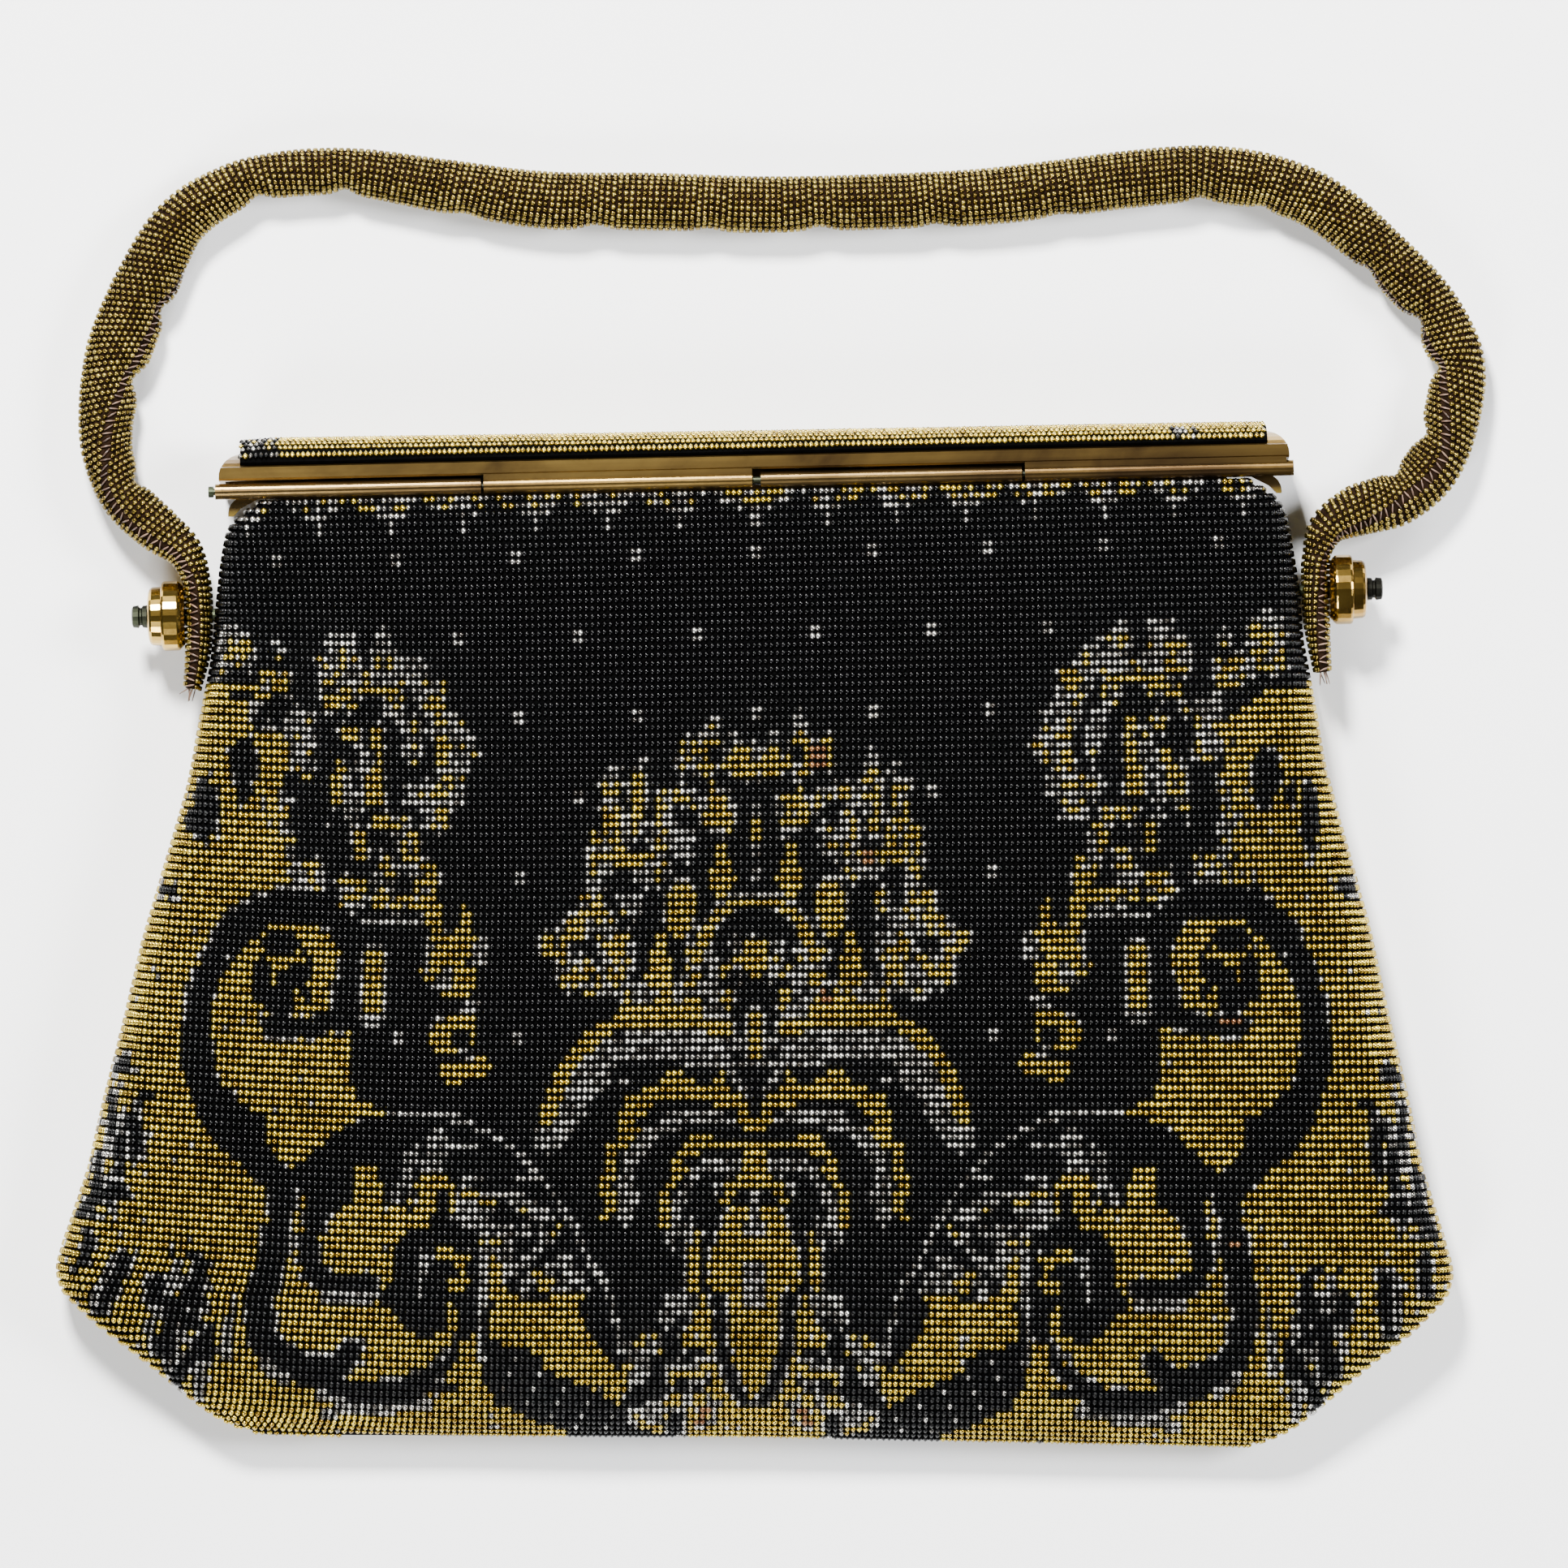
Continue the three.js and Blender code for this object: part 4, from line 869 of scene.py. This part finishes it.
def bag_beads(front):
    """All the beads of one panel with their places in the chart."""
    sink = BEAD_SINK if front else BACK_SINK
    downs, length = front_lengths()
    spread = np.linspace(-1, 1, 701)
    fields = []
    count = int((length[-1] + RISE_LEFT) / ROW)
    for row in range(count):
        depth = (row + 0.35) * ROW
        down = np.interp(depth, length, downs)
        extra = max(0.0, depth - length[-1]) / BAG_DROP
        line = skin(spread, np.full_like(spread, down), front, sink)
        arc = along_line(line)
        arc -= np.interp(0, spread, arc)
        pitch = COLUMN * (0.975 + 0.05 * down)
        first = math.ceil(arc[0] / pitch - 0.5)
        last = math.floor(arc[-1] / pitch - 0.5)
        column = np.arange(first, last + 1)
        at = (column + 0.5) * pitch
        at = np.where(at < 0, at * (1 + LEFT_WIDER * max(0, 1 - down / LEFT_EVEN)), at)
        keep = (at > arc[0]) & (at < arc[-1])
        column = column[keep]
        across = np.interp(at[keep], arc, spread)
        half = row_value("wide", down) * HALF_WIDTH
        here = down + extra - rise_of(across * half, down) / BAG_DROP
        keep = (here < 0.9995) & (here > 0)
        across = across[keep]
        here = here[keep]
        column = column[keep]
        if len(column) < 3:
            continue
        place = skin(across, here, front, sink)
        along = np.gradient(place, axis=0)
        step = 0.004
        below = skin(across, np.minimum(1, here + step), front, sink)
        above = skin(across, np.maximum(0, here - step), front, sink)
        slope = unit(below - above)
        if not front:
            along = -along
        beads = seat(place, along, slope, BAG_BEAD, 0.06)
        beads["column"] = column
        beads["row"] = np.full(len(column), row)
        fields.append(beads)
    return joined(fields)


def make_bag_beads():
    pieces = []
    for front in (True, False):
        beads = bag_beads(front)
        kind = ornament(beads["column"] + 0.5, beads["row"])
        side = "front" if front else "back"
        template = ROUND_BEAD if front else SMALL_BEAD
        left = beads["place"][:, 0] < 0
        groups = [
            ("black_left", (kind == BLACK) & left, BLACK_BEADS),
            ("black_right", (kind == BLACK) & ~left, BLACK_BEADS),
            ("gold", kind == GOLD, GOLD_BEADS),
            ("silver", kind == SILVER, SILVER_BEADS),
            ("copper", kind == COPPER, COPPER_BEADS),
        ]
        for group, chosen, material in groups:
            if not chosen.any():
                continue
            pieces.append(bead_field(f"beads_{side}_{group}", pick(beads, chosen), template, material))
    return pieces


def bag_ring(down, wall, count):
    turns = np.sin((np.arange(count) / count - 0.5) * np.pi)
    front = skin(turns, np.full(count, down), True, wall)
    back = skin(-turns, np.full(count, down), False, wall)
    return np.concatenate([front, back])


def make_bag_cloth():
    """The cloth under the beads, a closed shell with its lining face."""
    count = 46
    outer_downs = np.concatenate([np.linspace(0, 0.96, 76, endpoint=False), np.linspace(0.96, 1, 12)])
    inner_downs = np.linspace(0.985, 0, 40)
    rings = [bag_ring(down, CLOTH, count) for down in inner_downs]
    rings += [bag_ring(down, BEAD_SINK, count) for down in outer_downs]
    size = 2 * count
    faces = ring_faces(len(rings), size)
    for start, flip in ((0, True), ((len(rings) - 1) * size, False)):
        for k in range(count):
            a = start + k
            b = start + k + 1
            c = start + (size - k) % size
            d = start + size - k - 1
            face = list(dict.fromkeys([a, b, d, c]))
            faces.append(tuple(reversed(face)) if flip else tuple(face))
    return new_object("bag_cloth", to_world(np.concatenate(rings)), faces, BLACK_CLOTH)


# Handle

def handle_line():
    """Centripetal curve through the route with the half sizes along it."""
    across, up, wide, tall, lift = HANDLE_ROUTE.T
    high = tall * HANDLE_TALL
    p = np.stack([across * STRAP_X, up * HANDLE_RISE - PIVOT_DROP, high + (PIVOT_LIFT - high) * lift], -1)
    sizes = HANDLE_ROUTE[:, 2:4] * (HANDLE_HALF, HANDLE_TALL)
    p = np.vstack([2 * p[0] - p[1], p, 2 * p[-1] - p[-2]])
    places = []
    halves = []
    for i in range(1, len(p) - 2):
        q = p[i - 1:i + 3]
        knots = along_line(q, 0.5)
        for t in np.linspace(0, 1, 24, endpoint=False):
            u = knots[1] + (knots[2] - knots[1]) * t
            a = [q[k] + (q[k + 1] - q[k]) * (u - knots[k]) / (knots[k + 1] - knots[k]) for k in range(3)]
            b = [a[k] + (a[k + 1] - a[k]) * (u - knots[k]) / (knots[k + 2] - knots[k]) for k in range(2)]
            places.append(b[0] + (b[1] - b[0]) * (u - knots[1]) / (knots[2] - knots[1]))
            halves.append(sizes[i - 1] + (sizes[i] - sizes[i - 1]) * t)
    places.append(p[-2])
    halves.append(sizes[-1])
    return np.array(places), np.array(halves)


LINE, HALVES = handle_line()
LENGTHS = along_line(LINE)


def on_line(place):
    return np.stack([np.interp(place, LENGTHS, LINE[:, k]) for k in range(3)], -1)


def handle_skin(place, turn, inset):
    """Points of the handle. place is the distance along it, turn goes round it from its outer side."""
    way = on_line(place + 0.6) - on_line(place - 0.6)
    way[..., 2] = 0
    way = unit(way)
    side = np.stack([-way[..., 1], way[..., 0], np.zeros_like(way[..., 0])], -1)
    wide = np.interp(place, LENGTHS, HALVES[:, 0]) - inset
    tall = np.interp(place, LENGTHS, HALVES[:, 1]) - inset
    return (on_line(place) + side * (np.cos(turn) * wide)[..., None]
            + np.array([0, 0, 1.0]) * (np.sin(turn) * tall)[..., None])


# Seam of the handle: distance along it in millimetres, then degrees round it from its outer side
SEAM = np.array([
    (0, 80), (10, 77), (18.7, 69), (24.1, 63), (31.1, 57), (35.1, 50), (40.4, 55), (44.3, 62), (47.8, 88),
    (56, 107), (64.3, 132), (77.2, 150), (88, 205), (120, 255), (290, 255), (306, 205), (315.3, 162),
    (328.5, 165), (343.2, 127), (355.7, 79), (365.6, 84), (372.9, 53), (382.7, 32), (387.2, 52),
    (394.8, 65), (407, 85),
])
SEAM_GAP = 1.5
# The seam's thread stands above the surface on top and sinks into it below
THREAD_TOP = 0.18
THREAD_BELOW = -0.12
# How far round the tube's end each loose thread starts, and how widely they point
FRAY_ANGLES = (20, 60, 95, 130, 165, 110)
FRAY_SPREAD = (1, 1, 0.2)
# Puckers on the inner side: distance along, depth, reach
PUCKERS = [
    (41.5, 1.5, 2.2), (62.7, 1.9, 2.6), (77.2, 1.6, 2.2), (108.1, 1.3, 2.4),
    (124.8, 1.1, 2.2), (147, 0.6, 2.6), (169.7, 0.9, 2.8), (190, 0.6, 2.4), (209.6, 0.8, 2.6),
    (230.2, 0.7, 2.4), (252, 0.6, 2.8), (278, 0.9, 2.6), (290.3, 0.8, 2.2), (315, 1.2, 2.4),
    (328.5, 2.0, 2.6), (339.1, 1.7, 2.2), (352.8, 1.6, 2.4), (364.5, 1.4, 2.2),
]
SLANT = np.array([(0, 0.1), (30, 0.15), (48, -0.30), (75, -0.34), (100, -0.12), (150, 0.10), (230, -0.05),
                  (300, 0.08), (340, 0.22), (370, 0.10), (407, 0.0)])


def pinch(place, turn):
    """How far the surface is drawn in at the puckers, most on the inner side."""
    depth = 0
    for middle, deep, reach in PUCKERS:
        depth = depth + deep * np.exp(-((place - middle) / reach) ** 2)
    return depth * np.maximum(0, -np.cos(turn)) ** 1.3


def ring_of(place, turn, inset=0.45):
    """A ring of the handle, slanted as the cloth has twisted."""
    slant = np.interp(place, SLANT[:, 0], SLANT[:, 1])
    wide = np.interp(place, LENGTHS, HALVES[:, 0])
    at = place + slant * wide * np.cos(turn)
    return handle_skin(at, turn, inset + pinch(at, turn))


def make_handle_beads():
    total = LENGTHS[-1]
    rings = int(total / HANDLE_PITCH)
    upper = []
    lower = []
    threads = []
    for ring in range(rings):
        middle = (ring + 0.5) * total / rings
        turns = np.linspace(0, 2 * np.pi, 721)
        outline = ring_of(np.full(721, middle), turns)
        arc = along_line(outline)
        seam = np.interp(np.radians(np.interp(middle, SEAM[:, 0], SEAM[:, 1])), turns, arc)
        count = int(round((arc[-1] - SEAM_GAP) / HANDLE_PITCH))
        step = (arc[-1] - SEAM_GAP) / count
        at = (seam + SEAM_GAP / 2 + step * (np.arange(count) + 0.5)) % arc[-1]
        at = np.append(at, seam)
        turn = np.interp(at, arc, turns)
        place = np.full(len(turn), middle)
        here = ring_of(place, turn)
        around = unit(ring_of(place, turn + 0.02) - here)
        along = ring_of(place + 0.3, turn) - ring_of(place - 0.3, turn)
        stretch = np.clip(np.linalg.norm(along, axis=1) / 0.6, 0.55, 1.2)
        beads = seat(here, -around, along, HANDLE_BEAD, 0.07)
        beads["size"][:, 1] *= np.minimum(stretch, 1)
        high = np.sin(turn) > -0.25
        beads["place"] = beads["place"] - np.where(high, 0, 0.16)[:, None] * beads["up"]
        bead = np.arange(len(turn)) < count
        upper.append(pick(beads, bead & high))
        lower.append(pick(beads, bead & ~high))
        last = np.array([count])
        slant = 0.25 if ring % 2 else -0.25
        thread = seat(here[last], -around[last] + slant * unit(along[last]), along[last], STITCH, 0.1)
        thread["place"] = thread["place"] + (THREAD_TOP if high[last][0] else THREAD_BELOW) * thread["up"]
        threads.append(thread)
    for end, way in ((0.4, -1), (total - 0.4, 1)):
        turn = np.radians(FRAY_ANGLES)
        place = np.full(len(turn), end)
        here = handle_skin(place, turn, 1.1)
        along = way * unit(handle_skin(place + 0.5, turn, 1.1) - handle_skin(place - 0.5, turn, 1.1))
        along = along + rng.normal(0, 0.45, (len(turn), 3)) * FRAY_SPREAD
        down = np.cross(along, [0.0, 0.0, 1.0])
        threads.append(seat(here + 1.1 * unit(along), along, down, FRAYED, 0.05))
    return [
        bead_field("handle_beads_upper", joined(upper), ROUND_BEAD, BRONZE_BEADS),
        bead_field("handle_beads_lower", joined(lower), SMALL_BEAD, BRONZE_BEADS),
        bead_field("handle_thread", joined(threads), ROUND_BEAD, PINK_THREAD),
    ]


def make_handle_tube():
    total = LENGTHS[-1]
    sides = 18
    steps = 240
    rings = []
    for k in range(steps + 1):
        place = total * k / steps
        turn = np.arange(sides) / sides * 2 * np.pi
        at = np.full(sides, place)
        rings.append(handle_skin(at, turn, 0.5 + pinch(at, turn)))
    faces = ring_faces(steps + 1, sides) + end_faces(steps + 1, sides)
    return new_object("handle_tube", to_world(np.concatenate(rings)), faces, BROWN_CLOTH)


# Lid band

def band_line(grow):
    arch_front = STRIP_FRONT - STRIP_THICK
    arch_back = BAND_THICK + GAP + 0.5
    line = np.stack([
        STRIP_TOP + ARCH[:, 0] * (LID_RISE - STRIP_TOP),
        arch_front + (arch_back - arch_front) * ARCH[:, 1],
    ], -1)
    way = np.gradient(line, axis=0)
    way = unit(way)
    return line + grow * np.stack([-way[:, 1], way[:, 0]], -1)


# Where the band's left end and a stretch near its right end have silver and black beads
WORN_LEFT = -84.5
WORN_RIGHT = (74, 79)
LOWEST_BEAD = 0.8
SWELL = np.array([(-91.2, 1.2), (-86, 1.5), (-60, 1.3), (-25, 1.0), (20, 0.75), (60, 0.6), (91.2, 0.4)])


def swell(x):
    """How far the band is padded out, most towards its left end."""
    return np.interp(x, SWELL[:, 0], SWELL[:, 1])


def bulge(share):
    """The padding's shape over the arch, nothing at the strip and at the back."""
    return np.sin(np.pi * np.clip(share, 0, 1) ** 0.7) ** 0.6


def make_band():
    """Beads of the lid's band in offset rows over its arch, with the cloth under them."""
    outer = band_line(BAND_SEAT)
    line = smooth_line(outer)
    way = unit(np.gradient(line, axis=0))
    arc = along_line(line)
    rows = int(arc[-1] / BAND_ROW)
    columns = int(2 * BAND_HALF / BAND_COLUMN)

    def on_arch(depth):
        return np.array([np.interp(depth, arc, line[:, k]) for k in (0, 1)])

    fields = []
    for row in range(rows):
        depth = (row + 0.5) * arc[-1] / rows
        y, z = on_arch(depth)
        dy, dz = on_arch(depth + 0.2) - on_arch(depth - 0.2)
        x = (np.arange(columns) - columns / 2 + 0.5 * (row % 2)) * BAND_COLUMN
        out_y = -np.interp(depth, arc, way[:, 1])
        out_z = np.interp(depth, arc, way[:, 0])
        grow = swell(x) * bulge(depth / arc[-1])
        place = np.stack([x, y + grow * out_y, np.maximum(z + grow * out_z, LOWEST_BEAD)], -1)
        along = np.tile([1.0, 0, 0], (columns, 1))
        down = np.tile([0, dy, dz], (columns, 1))
        beads = seat(place, along, -down, BAND_BEAD, 0.07)
        beads["row"] = np.full(columns, row)
        fields.append(beads)
    every = joined(fields)
    x = every["place"][:, 0]
    shown = every["row"] < 0.6 * rows
    worn = shown & (x < WORN_LEFT) | (x > WORN_RIGHT[0]) & (x < WORN_RIGHT[1]) & (every["row"] < 3)
    luck = rng.random(len(x))
    pieces = [
        bead_field("band_gold", pick(every, shown & (~worn | (luck > 0.75))), ROUND_BEAD, BAND_BEADS),
        bead_field("band_back", pick(every, ~shown), PLAIN_BEAD, BAND_BEADS),
        bead_field("band_silver", pick(every, worn & (luck < 0.4)), ROUND_BEAD, SILVER_BEADS),
        bead_field("band_black", pick(every, worn & (luck >= 0.4) & (luck <= 0.75)), ROUND_BEAD, BLACK_BEADS),
    ]
    inner = band_line(GAP)
    way = unit(np.gradient(outer, axis=0))
    out = np.stack([-way[:, 1], way[:, 0]], -1)
    share = np.linspace(0, 1, len(outer))
    count = 2 * len(outer)
    stops = np.concatenate([[-BAND_HALF], SWELL[1:-1, 0], [BAND_HALF]])
    vertices = []
    for x in stops:
        padded = outer + out * (swell(x) * bulge(share))[:, None]
        vertices += [(x, y, z) for y, z in np.concatenate([padded, inner[::-1]])]
    faces = ring_faces(len(stops), count) + end_faces(len(stops), count)
    cloth = new_object("band_cloth", to_world(vertices), faces, BLACK_CLOTH, smooth=False)
    return pieces, cloth


# Stage

PHOTO_TURN = 1.293
PHOTO_CENTRE = (4.04, -54.1, 18.0)
PHOTO_WIDTH = 278.2
CAMERA_AWAY = 1800.0
SENSOR = 36.0


def make_camera():
    data = bpy.data.cameras.new("camera")
    data.sensor_width = SENSOR
    data.lens = SENSOR * CAMERA_AWAY / PHOTO_WIDTH
    data.clip_end = 20
    camera = put_in_scene("camera", data)
    middle = to_world(PHOTO_CENTRE)
    camera.location = Vector(middle) + Vector((0, 0, CAMERA_AWAY * MM))
    camera.rotation_euler = (0, 0, -math.radians(PHOTO_TURN))
    bpy.context.scene.camera = camera


def make_floor():
    material, nodes, links, base = shader("floor")
    fine = noise(nodes, links, 9, 3)
    color = mixed(nodes, links, fine, (0.84, 0.845, 0.85), (0.87, 0.875, 0.88))
    links.new(color, base.inputs["Base Color"])
    base.inputs["Roughness"].default_value = 0.75
    half = 6
    floor = new_object("floor", [(-half, -half, 0), (half, -half, 0), (half, half, 0), (-half, half, 0)],
                       [(0, 1, 2, 3)], material, smooth=False)


def make_light(name, place, target, size, power, color):
    data = bpy.data.lights.new(name, "AREA")
    data.shape = "RECTANGLE"
    data.size, data.size_y = size
    data.energy = power
    data.color = color
    light = put_in_scene(name, data)
    light.location = place
    way = Vector(target) - Vector(place)
    light.rotation_euler = way.to_track_quat("-Z", "Y").to_euler()


def make_lights():
    world = bpy.data.worlds.new("studio")
    world.use_nodes = True
    background = world.node_tree.nodes["Background"]
    background.inputs["Color"].default_value = (0.86, 0.88, 0.92, 1)
    background.inputs["Strength"].default_value = 0.08
    bpy.context.scene.world = world
    # Place, target, size, power in watts, colour
    make_light("key", (-0.25, 0.85, 1.0), (0, 0, 0), (0.24, 0.22), 84, (1, 0.985, 0.96))
    make_light("fill", (1.0, 0.2, 0.9), (0, 0, 0), (0.45, 0.45), 34, (0.97, 0.98, 1))
    make_light("front", (-0.55, -0.95, 0.9), (0, 0, 0), (0.5, 0.5), 28, (1, 1, 1))


make_camera()
make_floor()
make_lights()

bag_cloth = make_bag_cloth()
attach(bag_cloth, PURSE)
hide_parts("bag_body")
for piece in make_bag_beads():
    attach(piece, PURSE)

for piece in make_handle_beads():
    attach(piece, PURSE)
handle_tube = make_handle_tube()
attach(handle_tube, PURSE)
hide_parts("handle")

band_beads, band_cloth = make_band()
for piece in band_beads:
    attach(piece, LID)
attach(band_cloth, LID)
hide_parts("lid_band")

CAD_LOOKS = {
    "front_frame": FRAME_BRASS, "back_frame": AGED_BRASS, "lid_bar": AGED_BRASS,
    "hinge_pin": DARK_BRASS, "knob_left": BRIGHT_BRASS, "knob_right": BRIGHT_BRASS,
    "stud_left": DARK_BRASS, "stud_right": DARK_BRASS,
}
for node, look in CAD_LOOKS.items():
    slots = frame["nodes"][node].material_slots
    if not slots:
        frame["nodes"][node].data.materials.append(look)
    for place in slots:
        place.material = look
